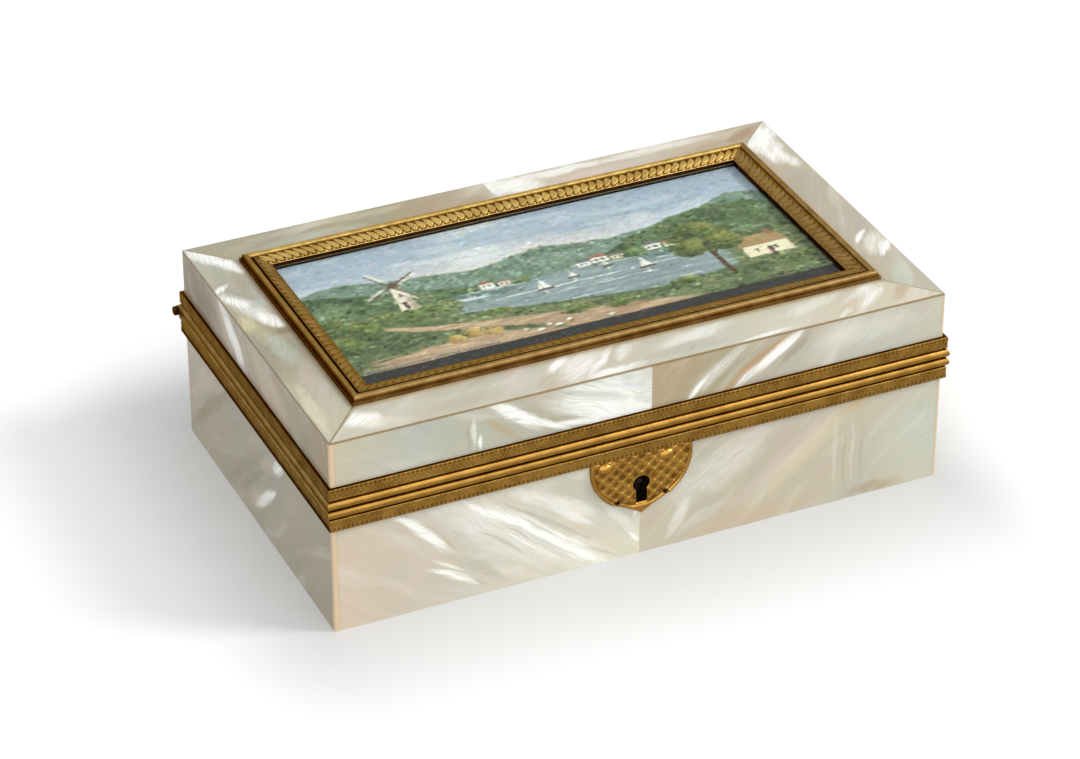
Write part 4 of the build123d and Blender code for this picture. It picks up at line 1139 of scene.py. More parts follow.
class Canvas:
    """A picture painted in code: colours as the eye reads them, 0 to 255, on a grid of points in
    millimetres from the picture's middle."""

    def __init__(self, half_x, half_y, step, seed):
        across = np.linspace(-half_x, half_x, int(2 * half_x / step) + 1)
        up = np.linspace(-half_y, half_y, int(2 * half_y / step) + 1)
        self.x, self.y = np.meshgrid(across, up)
        self.colour = np.zeros(self.x.shape + (3,))
        self.random = np.random.default_rng(seed)

    def cloud(self, size_x, size_y, octaves=3):
        """Smooth noise from -1 to 1 with patches of that size."""
        total, weight = 0.0, 0.0
        for octave in range(octaves):
            u = (self.x - self.x.min()) / size_x * 2**octave
            v = (self.y - self.y.min()) / size_y * 2**octave
            iu, iv = u.astype(int), v.astype(int)
            lattice = self.random.uniform(-1, 1, (iv.max() + 2, iu.max() + 2))
            fu, fv = ease(u - iu), ease(v - iv)
            low = lattice[iv, iu] * (1 - fu) + lattice[iv, iu + 1] * fu
            high = lattice[iv + 1, iu] * (1 - fu) + lattice[iv + 1, iu + 1] * fu
            share = 0.5**octave
            total = total + share * (low * (1 - fv) + high * fv)
            weight += share
        return total / weight

    def lay(self, mask, colour):
        """Paints a colour, or a field of colours, where the mask is over 0."""
        self.colour += mask[..., None] * (np.asarray(colour, float) - self.colour)

    def facet(self, points, colour, strength=1.0):
        """A shape with straight sides that bulges everywhere, its corners anticlockwise."""
        mask = np.full(self.x.shape, strength)
        for (ax, ay), (bx, by) in zip(points, points[1:] + points[:1]):
            off = (bx - ax) * (self.y - ay) - (by - ay) * (self.x - ax)
            off = off / math.hypot(bx - ax, by - ay)
            mask = np.minimum(mask, np.clip(off / 0.35 + 0.5, 0, 1))
        self.lay(mask, colour)

    def stroke(self, start, end, width, colour, strength=1.0):
        """A straight stroke with round ends."""
        (ax, ay), (bx, by) = start, end
        along = np.array([bx - ax, by - ay])
        reach = float(along @ along) or 1.0
        t = ((self.x - ax) * along[0] + (self.y - ay) * along[1]) / reach
        t = np.clip(t, 0, 1)
        off = np.hypot(self.x - ax - t * along[0], self.y - ay - t * along[1])
        self.lay(strength * np.clip((width / 2 - off) / 0.3 + 0.5, 0, 1), colour)

    def dab(self, x, y, half_x, half_y, colour, strength=0.8, slope=0.0):
        """One touch of the brush."""
        reach = max(half_x, half_y) + 0.4
        columns = np.abs(self.x[0] - x) < reach
        rows = np.abs(self.y[:, 0] - y) < reach
        if not columns.any() or not rows.any():
            return
        window = np.ix_(rows, columns)
        dx, dy = self.x[window] - x, self.y[window] - y
        along = dx * math.cos(slope) + dy * math.sin(slope)
        across = dy * math.cos(slope) - dx * math.sin(slope)
        inside = 1 - np.hypot(along / half_x, across / half_y)
        mask = strength * np.clip(inside * 2.2, 0, 1)
        patch = self.colour[window]
        self.colour[window] = patch + mask[..., None] * (np.asarray(colour, float) - patch)

    def foliage(self, x, y, half_x, half_y, count, size, dark, light):
        """A leafy mass of dabs, lit from the upper left."""
        for _ in range(count):
            turn, away = self.random.uniform(0, 2 * math.pi), math.sqrt(self.random.uniform())
            px, py = x + half_x * away * math.cos(turn), y + half_y * away * math.sin(turn)
            lit = 0.5 + 0.45 * away * math.sin(turn + 0.6) + self.random.uniform(-0.3, 0.3)
            lit = min(max(lit, 0), 1)
            tone = [d + (l - d) * lit for d, l in zip(dark, light)]
            grow = size * self.random.uniform(0.6, 1.3)
            self.dab(px, py, grow, grow * 0.6, tone, 0.75, self.random.uniform(-0.6, 0.6))

    def house(self, x, y, width, height, wall, roof):
        """A small cottage: lit wall, roof and two windows."""
        half, eaves = width / 2, y + height
        self.facet([(x - half, y), (x + half, y), (x + half, eaves), (x - half, eaves)], wall)
        top = eaves + 0.55 * height
        corners = [(x - half - 0.4, eaves), (x + half + 0.4, eaves)]
        corners += [(x + half * 0.6, top), (x - half * 0.6, top)]
        self.facet(corners, roof)
        for side in (-0.45, 0.35):
            middle = x + side * half
            self.stroke((middle, y + 0.4 * height), (middle, y + 0.65 * height), 0.5, (88, 84, 80))


def paint_sky(c):
    high = ease((c.y + 4) / 30)[..., None]
    low_tone, high_tone = np.array([204, 206, 206]), np.array([160, 174, 186])
    sky = low_tone + (high_tone - low_tone) * high
    glow = np.exp(-(((c.x + 6) / 34) ** 2) - ((c.y - 9) / 10) ** 2)[..., None]
    sky = sky + glow * (np.array([226, 208, 194]) - sky) * 0.75
    c.colour[:] = sky
    bank = c.cloud(26, 7, 4)
    c.lay(0.75 * ease((bank - 0.02) / 0.5) * ease((c.y - 2) / 12), (196, 202, 206))
    c.lay(0.6 * ease((c.cloud(34, 6, 4) - 0.1) / 0.4) * ease((c.y - 8) / 12), (142, 158, 172))
    c.lay(0.45 * ease((c.cloud(16, 4, 4) - 0.25) / 0.3), (222, 220, 214))


def ridge(c, crest, rough):
    """A mask under a crest line given as (x, height) pairs."""
    xs, heights = zip(*crest)
    line = np.interp(c.x, xs, heights) + rough * c.cloud(9, 400, 3)
    return np.clip((line - c.y) / 0.5 + 0.5, 0, 1)


def paint_hills(c):
    far = ((-70, 15), (-52, 18), (-36, 14), (-18, 11), (2, 14.5))
    far += ((20, 11), (40, 14), (56, 20), (70, 17))
    mask = ridge(c, far, 0.9)
    c.lay(mask, (126, 144, 128))
    c.lay(mask * ease((c.cloud(5, 2.6, 3) + 0.1) / 0.4) * 0.6, (102, 124, 102))
    left = ((-70, 15), (-58, 14), (-44, 9.5), (-30, 6), (-16, 2.5), (-6, -3), (70, -8))
    right = ((-70, -9), (4, -4), (14, 4), (26, 10), (38, 15), (50, 16.5), (60, 14), (70, 10))
    for crest, tone in ((left, (104, 122, 88)), (right, (98, 116, 80))):
        mask = ridge(c, crest, 0.7)
        c.lay(mask, tone)
        woods = ease((c.cloud(3.6, 2.4, 3) + 0.05) / 0.4)
        c.lay(mask * woods * 0.75, (66, 86, 54))
        c.lay(mask * ease((c.cloud(8, 3, 2) - 0.15) / 0.3) * 0.6, (130, 146, 112))


def near_shore(c):
    """Where the lake ends in front."""
    return -11 - 4.5 * np.sin((c.x + 10) / 22) + 0.7 * c.cloud(6, 400, 2)


def paint_lake(c):
    shore = 1.2 + 0.5 * c.cloud(8, 400, 2)
    near = near_shore(c)
    mask = np.clip((shore - c.y) / 0.4, 0, 1) * np.clip((c.y - near) / 0.5, 0, 1)
    mask = mask * ease((c.x + 34) / 8) * ease((50 - c.x) / 9)
    water = 150 + 18 * c.cloud(18, 1.2, 3)
    c.lay(mask, np.stack([water - 10, water + 2, water + 2], axis=-1))
    shade = np.exp(-(((c.y + 1) / 2.2) ** 2)) * ease((np.abs(c.x - 6) - 10) / 14)
    c.lay(mask * 0.8 * shade, (96, 118, 108))
    c.lay(0.8 * mask * ease((c.cloud(14, 0.8, 3) - 0.3) / 0.25), (222, 226, 222))
    for x, y, height in ((-6, -4.5, 5.0), (3, -2.2, 3.2), (22, -5.0, 4.6), (13, -0.6, 2.4)):
        c.facet([(x, y), (x + 0.42 * height, y), (x + 0.1, y + height)], (246, 242, 232))
        c.facet([(x - 0.3 * height, y), (x - 0.15, y), (x - 0.1, y + 0.8 * height)], (222, 214, 200))
        c.stroke((x - 0.35 * height, y - 0.3), (x + 0.45 * height, y - 0.3), 0.7, (86, 66, 50))
        c.stroke((x - 0.1, y - 1.1), (x - 0.1, y - 1.0 - 0.3 * height), 0.7, (232, 232, 226), 0.6)


def paint_banks(c):
    """Meadows on both sides of the lake, and the ground in front."""
    grass = np.clip((near_shore(c) - c.y) / 0.5, 0, 1)
    left = np.clip((1.6 - c.y + 0.6 * c.cloud(7, 400, 2)) / 0.5, 0, 1) * ease((-27 - c.x) / 7)
    right = np.clip((1.0 - c.y + 0.6 * c.cloud(7, 400, 2)) / 0.5, 0, 1) * ease((c.x - 41) / 7)
    mask = np.maximum.reduce([grass, left, right])
    tone = c.cloud(12, 3, 4)[..., None]
    c.lay(mask, np.array([106, 118, 82]) + tone * np.array([30, 26, 22]))
    c.lay(mask * ease((c.cloud(5, 1.2, 3) - 0.12) / 0.3) * 0.8, (70, 86, 54))
    c.lay(mask * ease((c.cloud(7, 1.0, 3) - 0.3) / 0.3) * 0.7, (156, 152, 112))


def paint_road(c):
    """A tan road from the lower right, round the lake, to the knoll of the mill."""
    share = np.clip((c.y + 29) / 25, 0, 1)
    middle = 22 - 68 * share**0.8 + 9 * np.sin(share * 5.5)
    width = 24 * (1 - share) ** 1.5 + 1.5
    off = np.abs(c.x - middle + 1.2 * c.cloud(5, 3, 2))
    mask = np.clip((width - off) / 1.2, 0, 1) * np.clip((-4 - c.y) / 0.8, 0, 1)
    bank = 1 - np.hypot((c.x + 36) / 30, (c.y + 23) / 5.5) + 0.3 * c.cloud(8, 2, 3)
    mask = np.maximum(mask, ease(bank / 0.2))
    ground = np.array([176, 152, 124]) + c.cloud(9, 1.6, 4)[..., None] * np.array([24, 24, 22])
    c.lay(mask, ground)
    c.lay(mask * ease((c.cloud(16, 0.9, 2) - 0.25) / 0.2) * 0.6, (146, 116, 86))
    c.lay(mask * ease((c.cloud(10, 0.8, 2) - 0.3) / 0.2) * 0.6, (214, 192, 160))


def paint_mill(c):
    """A tower mill on the knoll at the left."""
    c.foliage(-41, -2.5, 13, 3.4, 240, 1.1, (74, 92, 52), (140, 150, 92))
    c.facet([(-42.6, 0), (-37.4, 0), (-38.6, 11.5), (-41.4, 11.5)], (222, 212, 192))
    c.facet([(-39.4, 0), (-37.4, 0), (-38.6, 11.5), (-39.6, 11.5)], (176, 164, 146))
    c.facet([(-41.7, 11.5), (-38.3, 11.5), (-39.4, 14), (-40.6, 14)], (104, 84, 72))
    for turn in range(4):
        angle = math.radians(32 + 90 * turn)
        tip = (-40.6 + 8.4 * math.cos(angle), 12 + 8.4 * math.sin(angle))
        c.stroke((-40.6, 12), tip, 0.5, (92, 76, 64))
        side = (0.8 * math.sin(angle), -0.8 * math.cos(angle))
        root = (-40.6 + 2.4 * math.cos(angle), 12 + 2.4 * math.sin(angle))
        start = (root[0] + side[0], root[1] + side[1])
        c.stroke(start, (tip[0] + side[0], tip[1] + side[1]), 1.1, (226, 220, 206), 0.75)
    c.stroke((-40.4, 1), (-40.4, 3.4), 1.2, (96, 78, 64))
    c.stroke((-40, 6.6), (-40, 7.8), 0.7, (96, 84, 74))


def paint_village(c):
    """Cottages on the far shore and a thatched farm at the right."""
    white, cream = (232, 226, 214), (222, 206, 178)
    slate, tile = (124, 122, 124), (158, 112, 92)
    for x, y, width, roof in (
        (8, 1.0, 3.6, slate),
        (12.6, 1.4, 4.4, tile),
        (17.4, 1.2, 3.4, slate),
        (27.5, 1.6, 4.6, slate),
        (32.4, 1.4, 3.6, tile),
        (-14, 1.0, 3.4, slate),
        (-18.6, 1.3, 4.0, tile),
    ):
        c.house(x, y, width, 0.55 * width, white if width > 3.5 else cream, roof)
    c.foliage(22.4, 2.2, 3.4, 1.8, 60, 0.9, (66, 88, 56), (132, 146, 92))
    c.foliage(-9.6, 1.6, 3.0, 1.2, 40, 0.8, (70, 92, 60), (132, 146, 92))
    c.foliage(37.5, 2.4, 3.4, 2.0, 60, 0.9, (66, 88, 56), (126, 140, 84))
    c.house(54, -12.5, 13, 5.2, (230, 216, 186), (150, 128, 94))
    c.facet([(46.6, -7.3), (61.4, -7.3), (58.5, -2.2), (49.5, -2.2)], (164, 140, 100))
    c.facet([(56.6, -3.4), (58.4, -3.4), (58.4, -0.6), (56.6, -0.6)], (150, 108, 90))
    c.stroke((54.6, -12.4), (54.6, -9.6), 1.3, (92, 72, 58))


def paint_trees(c):
    """A broad oak at the right, a pair of trees at the left edge, and bushes along the road."""
    c.stroke((41, -17), (40.2, -5), 1.5, (84, 64, 46))
    c.stroke((40.4, -7), (43.6, -1.5), 0.9, (84, 64, 46))
    for x, y, wide, high in ((40, 1, 8.5, 6.0), (36, -2, 5, 3.6), (45, -2, 5, 3.6), (41, 6, 5, 3.4)):
        c.foliage(x, y, wide, high, 260, 1.1, (56, 70, 36), (142, 144, 78))
    for x, y, wide, high in ((-60, -3, 5, 6), (-54, -6, 4, 4), (-62, -10, 5, 4)):
        c.foliage(x, y, wide, high, 200, 1.0, (58, 76, 44), (128, 138, 78))
    for x, y, wide in ((-22, -9.6, 4), (-2, -17, 5), (8, -18.4, 3), (60, -16, 6), (28, -15.5, 4)):
        c.foliage(x, y, wide, 1.6, 70, 0.9, (64, 82, 44), (140, 148, 84))


def paint_farm_life(c):
    """Hay, a low wall, sheep as mere touches, and flowers in the grass."""
    for x, y, size in ((-30, -16.5, 2.6), (-35.5, -17.6, 2.2), (-25.4, -18, 2.0)):
        c.foliage(x, y, size, size * 0.8, 70, 0.7, (150, 118, 66), (222, 194, 130))
    for step in range(24):
        x = -62 + 1.5 * step
        c.dab(x, -22.4 + 0.35 * math.sin(step), 0.9, 0.6, (168, 158, 146), 0.9)
        c.dab(x + 0.6, -23.2, 0.9, 0.4, (110, 102, 92), 0.8)
    for x, y in ((-12, -20.5), (-9.5, -21.4), (-14.6, -21.8), (-6.4, -20.2), (4, -22.4), (-18, -20.4)):
        c.dab(x, y, 1.0, 0.65, (240, 236, 226), 1.0)
        c.dab(x + 0.2, y - 0.8, 0.9, 0.25, (92, 96, 60), 0.8)
    for _ in range(160):
        x, y = c.random.uniform(-64, 10), c.random.uniform(-28, -23.5)
        tone = ((226, 214, 180), (196, 120, 96), (240, 236, 224))[c.random.integers(3)]
        c.dab(x, y, 0.4, 0.35, tone, 0.7)


def paint_touches(c, count=14000):
    """Small touches of the brush over the whole picture, each near the colour under it. They
    differ most among the greens, as leaves do."""
    rows, columns = c.x.shape
    for _ in range(count):
        row, column = c.random.integers(rows), c.random.integers(columns)
        tone = c.colour[row, column]
        leafy = tone[1] > max(tone[0], tone[2]) + 5
        wide = c.random.uniform(0.4, 1.0 if leafy else 1.3)
        high = wide * (0.7 if leafy else 0.35)
        tone = tone + c.random.normal(0, 24 if leafy else 11) + c.random.normal(0, 5, 3)
        c.dab(c.x[row, column], c.y[row, column], wide, high, tone, 0.6, c.random.normal(0, 0.35))


# Fineness of the painting, the upper edge of the dark strip along its foot, and the width of the dark
# margin round the card, painted shade under the frame's lip
PICTURE_STEP = 0.3
PICTURE_STRIP = -23.9
PICTURE_SHADE_MARGIN = 0.7


def paint_landscape(half_x, half_y):
    """An invented lake with a mill, in the manner of small painted views."""
    c = Canvas(half_x, half_y, PICTURE_STEP, seed=5)
    for paint in (
        paint_sky,
        paint_hills,
        paint_lake,
        paint_banks,
        paint_road,
        paint_village,
        paint_mill,
        paint_trees,
        paint_farm_life,
        paint_touches,
    ):
        paint(c)
    strip = np.clip((PICTURE_STRIP + 0.2 * c.cloud(6, 400, 2) - c.y) / 0.3 + 0.5, 0, 1)
    c.lay(strip, (44, 44, 40))
    # A dark margin round the card's edge: painted shade where the frame's lip shades the picture
    edge = np.minimum(half_x - np.abs(c.x), half_y - np.abs(c.y))
    c.lay(np.clip((PICTURE_SHADE_MARGIN - edge) / 0.3 + 0.5, 0, 1), (30, 26, 20))
    c.colour[:] = np.clip(128 + 1.22 * (c.colour - 126), 10, 250)
    return c


def build_picture():
    """The painted card under the glass."""
    low, high = (np.array(corner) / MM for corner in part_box("picture_panel"))
    middle, half = (low + high) / 2, (high - low) / 2
    c = paint_landscape(half[0], half[1])
    top = high[2] - 0.05
    front = np.stack([c.x + middle[0], c.y + middle[1], np.full(c.x.shape, top)], axis=-1)
    points, faces = closed_strip(front, np.array([0, 0, low[2] - top]))
    material = painted_card()
    piece = new_piece("picture_landscape", points, faces, material, "lid")
    shares = np.clip(c.colour / 255, 0, 1)
    tones = np.where(shares <= 0.04045, shares / 12.92, ((shares + 0.055) / 1.055) ** 2.4)
    paint = np.full((len(points), 4), 0.05)
    paint[:, 3] = 1
    paint[: c.x.size, :3] = tones.reshape(-1, 3)
    layer = piece.data.color_attributes.new("paint", "FLOAT_COLOR", "POINT")
    layer.data.foreach_set("color", paint.astype(np.float32).ravel())
    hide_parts("picture_panel")
    dress(picture_glass(), "picture_glass")


# Linings: half sizes between the panels, and the heights that the base's and the lid's fill
LINING_HALF_X = 77.0
LINING_HALF_Y = 44.0
LINING_THICK = 0.5
LININGS = {"base": (BASE_FLOOR, 34.65), "lid": (36.55, LID_CEILING)}
# How much longer and wider than its panel the silk was cut
TURNED_IN = 4


def soft_panel(name, corner, across, up, size, cells, height, material, body):
    """A closed soft piece on a board: a grid from a corner along two axes, raised by
    height(u, v) in millimetres towards across x up."""
    across, up = np.array(across, float), np.array(up, float)
    out = np.cross(across, up)
    spans = (np.linspace(0, length, count + 1) for length, count in zip(size, cells))
    u, v = np.meshgrid(*spans)
    rise = height(u, v)
    front = (
        np.array(corner, float)
        + u[..., None] * across
        + v[..., None] * up
        + rise[..., None] * out
    )
    points, faces = closed_strip(front, -float(rise[0, 0]) * out)
    return new_piece(name, points, faces, material, body)


def slow_waves(u, v, seed, count=7, low=8.0, high=40.0):
    """A sum of seeded waves, about -1 to 1, for fabric that isn't quite flat."""
    random = np.random.default_rng(seed)
    total = np.zeros(u.shape)
    for _ in range(count):
        length, turn = random.uniform(low, high), random.uniform(0, math.pi)
        phase = random.uniform(0, 2 * math.pi)
        along = u * math.cos(turn) + v * math.sin(turn)
        total += np.sin(2 * math.pi * along / length + phase)
    return total / math.sqrt(count) / 1.6


def from_edge(u, v, size):
    """How far a point of a panel lies from its nearest edge."""
    return np.minimum(np.minimum(u, size[0] - u), np.minimum(v, size[1] - v))


def stretched_height(size, seed):
    """Silk stretched over card: turned edges, a little fullness and faint drag lines."""

    def rise(u, v):
        edge = from_edge(u, v, size)
        turned = 0.5 + 0.5 * np.sqrt(1 - (1 - np.clip(edge / 0.8, 0, 1)) ** 2)
        drag = 0.06 * slow_waves(u, v * 3, seed) * ease(edge / 4)
        return (LINING_THICK - 0.05) * turned * (0.94 + drag)

    return rise


def line_with_silk(name, corner, across, up, size, material, seed):
    """One silk panel of a lining, on the face of a board."""
    body = name.split("_")[0]
    node = f"{body}_lining"
    cells = (max(int(size[0] / 1.6), 8), max(int(size[1] / 1.2), 8))
    rise = stretched_height(size, seed)
    piece = soft_panel(name, corner, across, up, size, cells, rise, material, body)
    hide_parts(node)
    flat = ((size[0] + TURNED_IN) * MM, (size[1] + TURNED_IN) * MM)
    return piece


def build_linings():
    """Silk over card on the inner faces of the base and the lid."""
    floor = silk("silk_floor", "xy")
    long_wall = silk("silk_long_wall", "xz")
    short_wall = silk("silk_short_wall", "yz")
    half_x, half_y = LINING_HALF_X, LINING_HALF_Y
    for body, (bottom, top) in LININGS.items():
        z = bottom + 0.05
        walls = (
            ("front", (half_x, -half_y - LINING_THICK, z), (-1, 0, 0), half_x, long_wall),
            ("back", (-half_x, half_y + LINING_THICK, z), (1, 0, 0), half_x, long_wall),
            ("left", (-half_x - LINING_THICK, -half_y, z), (0, 1, 0), half_y, short_wall),
            ("right", (half_x + LINING_THICK, half_y, z), (0, -1, 0), half_y, short_wall),
        )
        for seed, (side, corner, across, half, material) in enumerate(walls, 20):
            board = "lid_board_sides" if body == "lid" else f"base_board_{side}"
            size = (2 * half, top - bottom - 0.1)
            name = f"{body}_silk_{side}"
            line_with_silk(name, corner, across, (0, 0, 1), size, material, seed)
    half_x, half_y = half_x - 0.05, half_y - 0.05
    corner, size = (-half_x, -half_y, BASE_FLOOR), (2 * half_x, 2 * half_y)
    name, board = "base_silk_floor", "base_board_floor"
    line_with_silk(name, corner, (1, 0, 0), (0, 1, 0), size, floor, 31)


# The lid's pad, its plain border and the distances between its lines
PAD_HALF_X = 76.7
PAD_HALF_Y = 43.7
PAD_BORDER = 6.0
TUFT_X = (PAD_HALF_X - PAD_BORDER) / 4.5
TUFT_Y = (PAD_HALF_Y - PAD_BORDER) / 2.5


def quilted_rise(u, v):
    """Height of the lid's pad off its board: a plump border, then lozenges drawn in along the
    lines between the buttons."""
    x, y = u - PAD_HALF_X, v - PAD_HALF_Y
    edge = np.minimum(PAD_HALF_X - np.abs(x), PAD_HALF_Y - np.abs(y))
    turns = (x / TUFT_X + y / TUFT_Y) / 2, (x / TUFT_X - y / TUFT_Y) / 2
    pillow = np.ones(x.shape)
    for turn in turns:
        pillow = pillow * np.abs(np.sin(math.pi * (turn + 0.5))) ** 0.6
    wrinkle = 0.05 * slow_waves(u, v, 41, low=3, high=10) * (1 - pillow)
    inner = 0.75 + 1.45 * pillow**0.8 + wrinkle
    inside = ease((edge - PAD_BORDER) / 2.2)
    inner = inner * inside + 0.75 * (1 - inside)
    off_middle = (edge - PAD_BORDER / 2) / (PAD_BORDER / 2 + 0.3)
    roll = np.sqrt(np.clip(1 - off_middle**2, 0, 1))
    ripple = 1 + 0.05 * np.sin(2 * math.pi * (x + y) / 3.1) * ease(edge / 3)
    outer = 0.5 + 1.55 * roll * ripple
    return np.where(edge < PAD_BORDER, np.maximum(outer, 0.6), np.maximum(inner, 0.6))


def build_lid_pad():
    """The quilted silk pad under the lid's top board."""
    material = silk("silk_lid_pad", "xy")
    corner = (PAD_HALF_X, -PAD_HALF_Y, LID_CEILING)
    size, cells = (2 * PAD_HALF_X, 2 * PAD_HALF_Y), (256, 150)
    name, rise = "lid_quilted_pad", quilted_rise
    pad = soft_panel(name, corner, (-1, 0, 0), (0, 1, 0), size, cells, rise, material, "lid")
    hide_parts("lid_pad")


def build_pad_buttons():
    """A small silk-covered button where the pad's lines cross."""
    rings, count, radius = 7, 20, 1.7
    points, faces = [], []
    for i in range(-4, 5):
        for j in range(-2, 3):
            if (i + j) % 2 == 0:
                continue
            first = len(points)
            for ring in range(rings):
                lean = ring / (rings - 1) * math.pi / 2
                reach, down = radius * math.cos(lean), 0.35 + 0.8 * math.sin(lean)
                for angle in np.arange(count) * 2 * math.pi / count:
                    px = i * TUFT_X + reach * math.cos(angle)
                    py = j * TUFT_Y + reach * math.sin(angle)
                    points.append((px, py, LID_CEILING - 0.45 - down))
            for ring in range(rings - 1):
                for k in range(count):
                    a, b = first + ring * count + k, first + ring * count + (k + 1) % count
                    faces.append([a, b, b + count, a + count])
            faces.append([first + k for k in range(count)][::-1])
            faces.append([first + (rings - 1) * count + k for k in range(count)])
    material = silk("silk_button", "xy", shade=SILK_LIGHT)
    new_piece("lid_pad_buttons", points, faces, material, "lid")


# The tray's open compartments as (left, right), (front, back), and the gap round their pads
PAD_GAP = 0.3
COMPARTMENTS = (
    ((-75.05, -39.15), (-42.05, -0.65)),
    ((-75.05, -39.15), (0.65, 42.05)),
    ((39.15, 75.05), (-42.05, 42.05)),
    ((-37.85, 37.85), (-42.05, 9.85)),
)


def thin_pad(size, seed):
    """A thin pad's height: full up to its round edges."""

    def rise(u, v):
        edge = from_edge(u, v, size)
        turned = np.sqrt(1 - (1 - np.clip(edge / 1.6, 0, 1)) ** 2)
        return 0.25 + 0.62 * turned + 0.06 * slow_waves(u, v, seed) * ease(edge / 3)

    return rise


def build_tray_pads():
    """A thin silk pad in each open compartment."""
    material = silk("silk_tray_pad", "xy")
    for number, ((left, right), (front, back)) in enumerate(COMPARTMENTS, 1):
        size = (right - left - 2 * PAD_GAP, back - front - 2 * PAD_GAP)
        cells = [max(int(length / 0.9), 8) for length in size]
        corner = (left + PAD_GAP, front + PAD_GAP, TRAY_FLOOR)
        name, rise = f"tray_silk_pad_{number}", thin_pad(size, 50 + number)
        pad = soft_panel(name, corner, (1, 0, 0), (0, 1, 0), size, cells, rise, material, "tray")
        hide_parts("tray_pads")


# The pincushion, the top of its velvet and where the velvet meets the walls
CUSHION_HALF_X = 37.6
CUSHION_FRONT = 11.2
CUSHION_BACK = 41.9
CUSHION_TOP = 34.5
CUSHION_EDGE = 30.6


def build_pincushion():
    """The velvet pincushion: full in the middle, pressed against its compartment's walls and
    drawn in at three tufts."""
    u, v = np.meshgrid(np.linspace(-1, 1, 110), np.linspace(-1, 1, 56))
    middle = (CUSHION_FRONT + CUSHION_BACK) / 2
    half_y = (CUSHION_BACK - CUSHION_FRONT) / 2
    x, y = CUSHION_HALF_X * u, middle + half_y * v
    full = (1 - u**8) ** 0.45 * (1 - v**6) ** 0.45 * (1 - 0.25 * (0.6 * u**2 + 0.4 * v**2))
    waves = 0.1 * slow_waves(x, y, 71, low=8, high=26) * full
    dimples = np.zeros(x.shape)
    for place in (-0.31, 0.0, 0.31):
        off = np.hypot(x - place * 2 * CUSHION_HALF_X, y - middle)
        dimples += 1.3 * np.exp(-((off / 2.4) ** 2)) + 0.6 * np.exp(-((off / 6.5) ** 2))
    z = CUSHION_EDGE + (CUSHION_TOP - CUSHION_EDGE - 0.1) * full + waves - dimples * full
    top = np.stack([x, y, z], axis=-1)
    points, faces = closed_strip(top, np.array([0, 0, TRAY_FLOOR + 0.05 - CUSHION_EDGE]))
    piece = new_piece("pincushion_velvet", points, faces, velvet(), "tray")
    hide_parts("pincushion")


# The ribbon tabs, their middle from front to back and how far out they hang
RIBBON_WIDTH = 8.0
RIBBON_MIDDLE = 21.05
RIBBON_AT_X = 74.9
RIBBON_HALF_THICK = 0.04


def build_ribbons():
    """A folded silk ribbon inside each end of the tray, to lift it by."""
    material = silk("silk_ribbon", "yz", linear(176, 150, 96), linear(140, 112, 62))
    low, high = (np.array(corner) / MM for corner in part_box("tray_ribbons"))
    turn = np.linspace(0, 1, 60)
    z = low[2] + (high[2] - low[2]) * np.sin(turn * math.pi) ** 0.35
    apart = np.cos(turn * math.pi) * (0.1 + 0.05 * np.sin(turn * math.pi))
    zz, yy = np.meshgrid(z, np.linspace(0, RIBBON_WIDTH, 17), indexing="ij")
    gap = apart[:, None] + 0.012 * np.sin(yy * 1.9 + zz)
    rows, columns = zz.shape
    count = rows * columns
    ring = list(range(columns))
    ring += [r * columns + columns - 1 for r in range(1, rows)]
    ring += [(rows - 1) * columns + c for c in range(columns - 2, -1, -1)]
    ring += [r * columns for r in range(rows - 2, 0, -1)]
    for side, name in ((-1, "left"), (1, "right")):
        x = side * (RIBBON_AT_X - gap)
        line = np.stack([x, RIBBON_MIDDLE - RIBBON_WIDTH / 2 + yy, zz], axis=-1)
        normal = np.cross(np.gradient(line, axis=0), np.array([0, 1.0, 0]))
        normal *= RIBBON_HALF_THICK / np.linalg.norm(normal, axis=-1, keepdims=True)
        points = np.concatenate([(line + normal).reshape(-1, 3), (line - normal).reshape(-1, 3)])
        faces = grid_faces(rows, columns)
        faces += [[count + i for i in face[::-1]] for face in faces]
        for a, b in zip(ring, ring[1:] + ring[:1]):
            faces.append([b, a, count + a, count + b])
        piece = new_piece(f"tray_ribbon_{name}", points, faces, material, "tray")
        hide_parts("tray_ribbons")


def make_camera():
    """The camera, solved from the box's corners in the photograph."""
    lens = bpy.data.cameras.new("photo_camera")
    lens.lens = 134.3
    lens.sensor_width = 36
    lens.clip_start, lens.clip_end = 0.05, 20
    camera = bpy.data.objects.new("photo_camera", lens)
    camera.location = (-0.36615, -0.78784, 0.56804)
    camera.rotation_euler = Euler([math.radians(a) for a in (57.852, 0, -24.592)])
    link(camera)
    bpy.context.scene.camera = camera


def rays(s, *kinds):
    """1 for rays of the named kinds, else 0."""
    path = s.node("ShaderNodeLightPath").outputs
    total, *others = (Field(s, path[f"Is {kind} Ray"]) for kind in kinds)
    for other in others:
        total = total.most(other)
    return total


# Strength of the light from all round
AMBIENT = 0.5
# Lamps as name, strength, angle in degrees and where they stand seen from the box
LAMPS = (
    ("window_right", 1.55, 17, (0.66, -0.34, 0.67)),
    ("window_front", 1.2, 75, (-0.1, -0.82, 0.56)),
    ("window_left", 0.8, 60, (-0.97, 0.02, 0.22)),
)
# Share of the floor's white that it gives off itself, and its half size in metres
FLOOR_GLOW = 0.25
FLOOR_REACH = 6.0


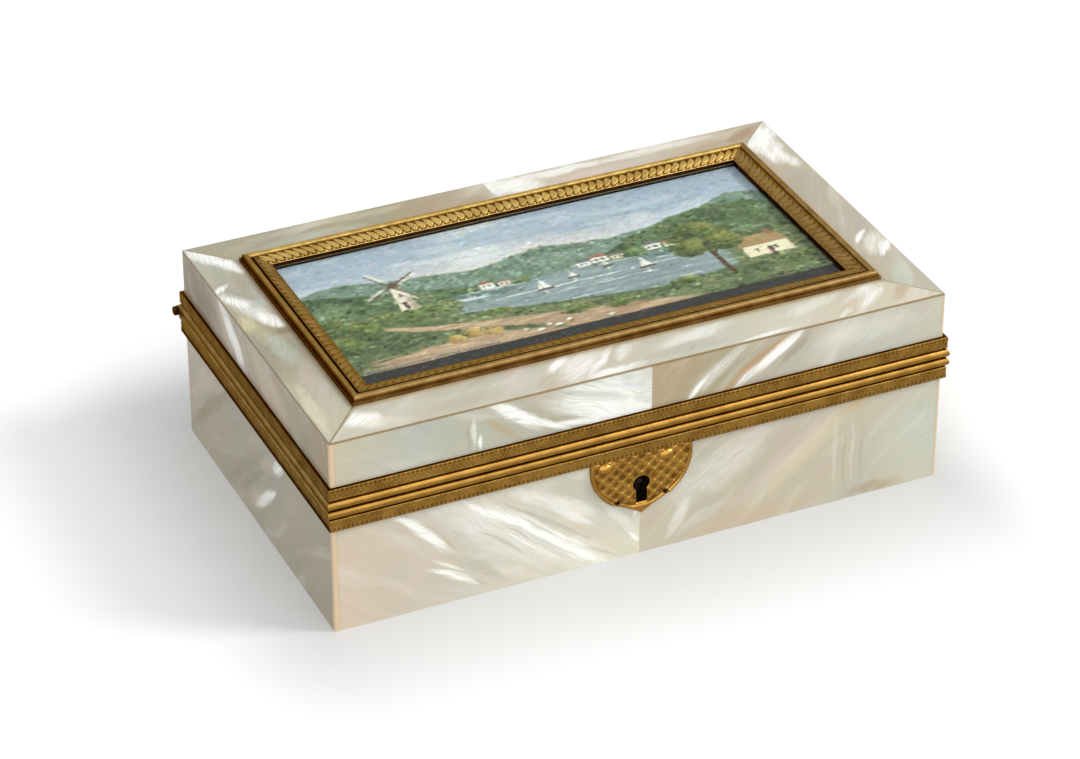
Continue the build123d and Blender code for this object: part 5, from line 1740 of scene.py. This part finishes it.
def make_light():
    """Soft light from the front right and from all round, and a background that shows white."""
    s = Shader("studio", "worlds")
    lit, white = (
        s.field("ShaderNodeBackground", {"Color": (1, 1, 1, 1), "Strength": strength})
        for strength in (AMBIENT, 1.0)
    )
    both = s.blend(rays(s, "Camera", "Glossy", "Transmission"), lit, white)
    bpy.context.scene.world = s.output(both, "World")
    for name, strength, angle, towards in LAMPS:
        lamp = bpy.data.lights.new(name, "SUN")
        lamp.energy = strength
        lamp.angle = math.radians(angle)
        sun = bpy.data.objects.new(name, lamp)
        sun.rotation_euler = Vector(towards).to_track_quat("Z", "Y").to_euler()
        link(sun)


def floor_painted_shadow(s):
    """Painted shadow on the floor: how much it darkens towards the box, from 0 far away. It reaches
    furthest on the left."""
    x, y, _ = s.split(s.millimetres())
    off_x = (abs(x) - HALF_WIDTH).most(0.0)
    off_y = (abs(y) - HALF_DEPTH).most(0.0)
    wide = off_x * (x.below(0.0) * -0.75 + 2.1)
    return distance(s, wide, off_y).ramp(58.0, -12.0) * 0.34


def make_floor():
    """A white floor under the box, which keeps its shadow, with a painted shadow round the box's foot
    as well. It glows a little to the camera, so that the shadow stays light."""
    s = Shader("floor_white")
    seen = rays(s, "Camera", "Transmission")
    # The floor's white, darkened towards the box by the painted shadow
    white = s.mix(floor_painted_shadow(s), (1, 1, 1, 1), (0, 0, 0, 1))
    colour = s.mix(seen, linear(200, 200, 198), white)
    diffuse = s.field("ShaderNodeBsdfDiffuse", {0: colour})
    glow = s.field("ShaderNodeEmission", {0: white})
    mesh = bpy.data.meshes.new("floor")
    far = FLOOR_REACH
    corners = [(-far, -far, 0), (far, -far, 0), (far, far, 0), (-far, far, 0)]
    mesh.from_pydata(corners, [], [(0, 1, 2, 3)])
    mesh.materials.append(s.output(s.blend(seen * FLOOR_GLOW, diffuse, glow)))
    floor = bpy.data.objects.new("floor", mesh)
    link(floor)


bpy.context.scene.view_settings.view_transform = "Standard"
make_camera()
make_light()
make_floor()
dress_nacre()
dress_rims()
dress_frame()
dress_fittings()
dress_boards()
build_picture()
build_linings()
build_lid_pad()
build_pad_buttons()
build_tray_pads()
build_pincushion()
build_ribbons()
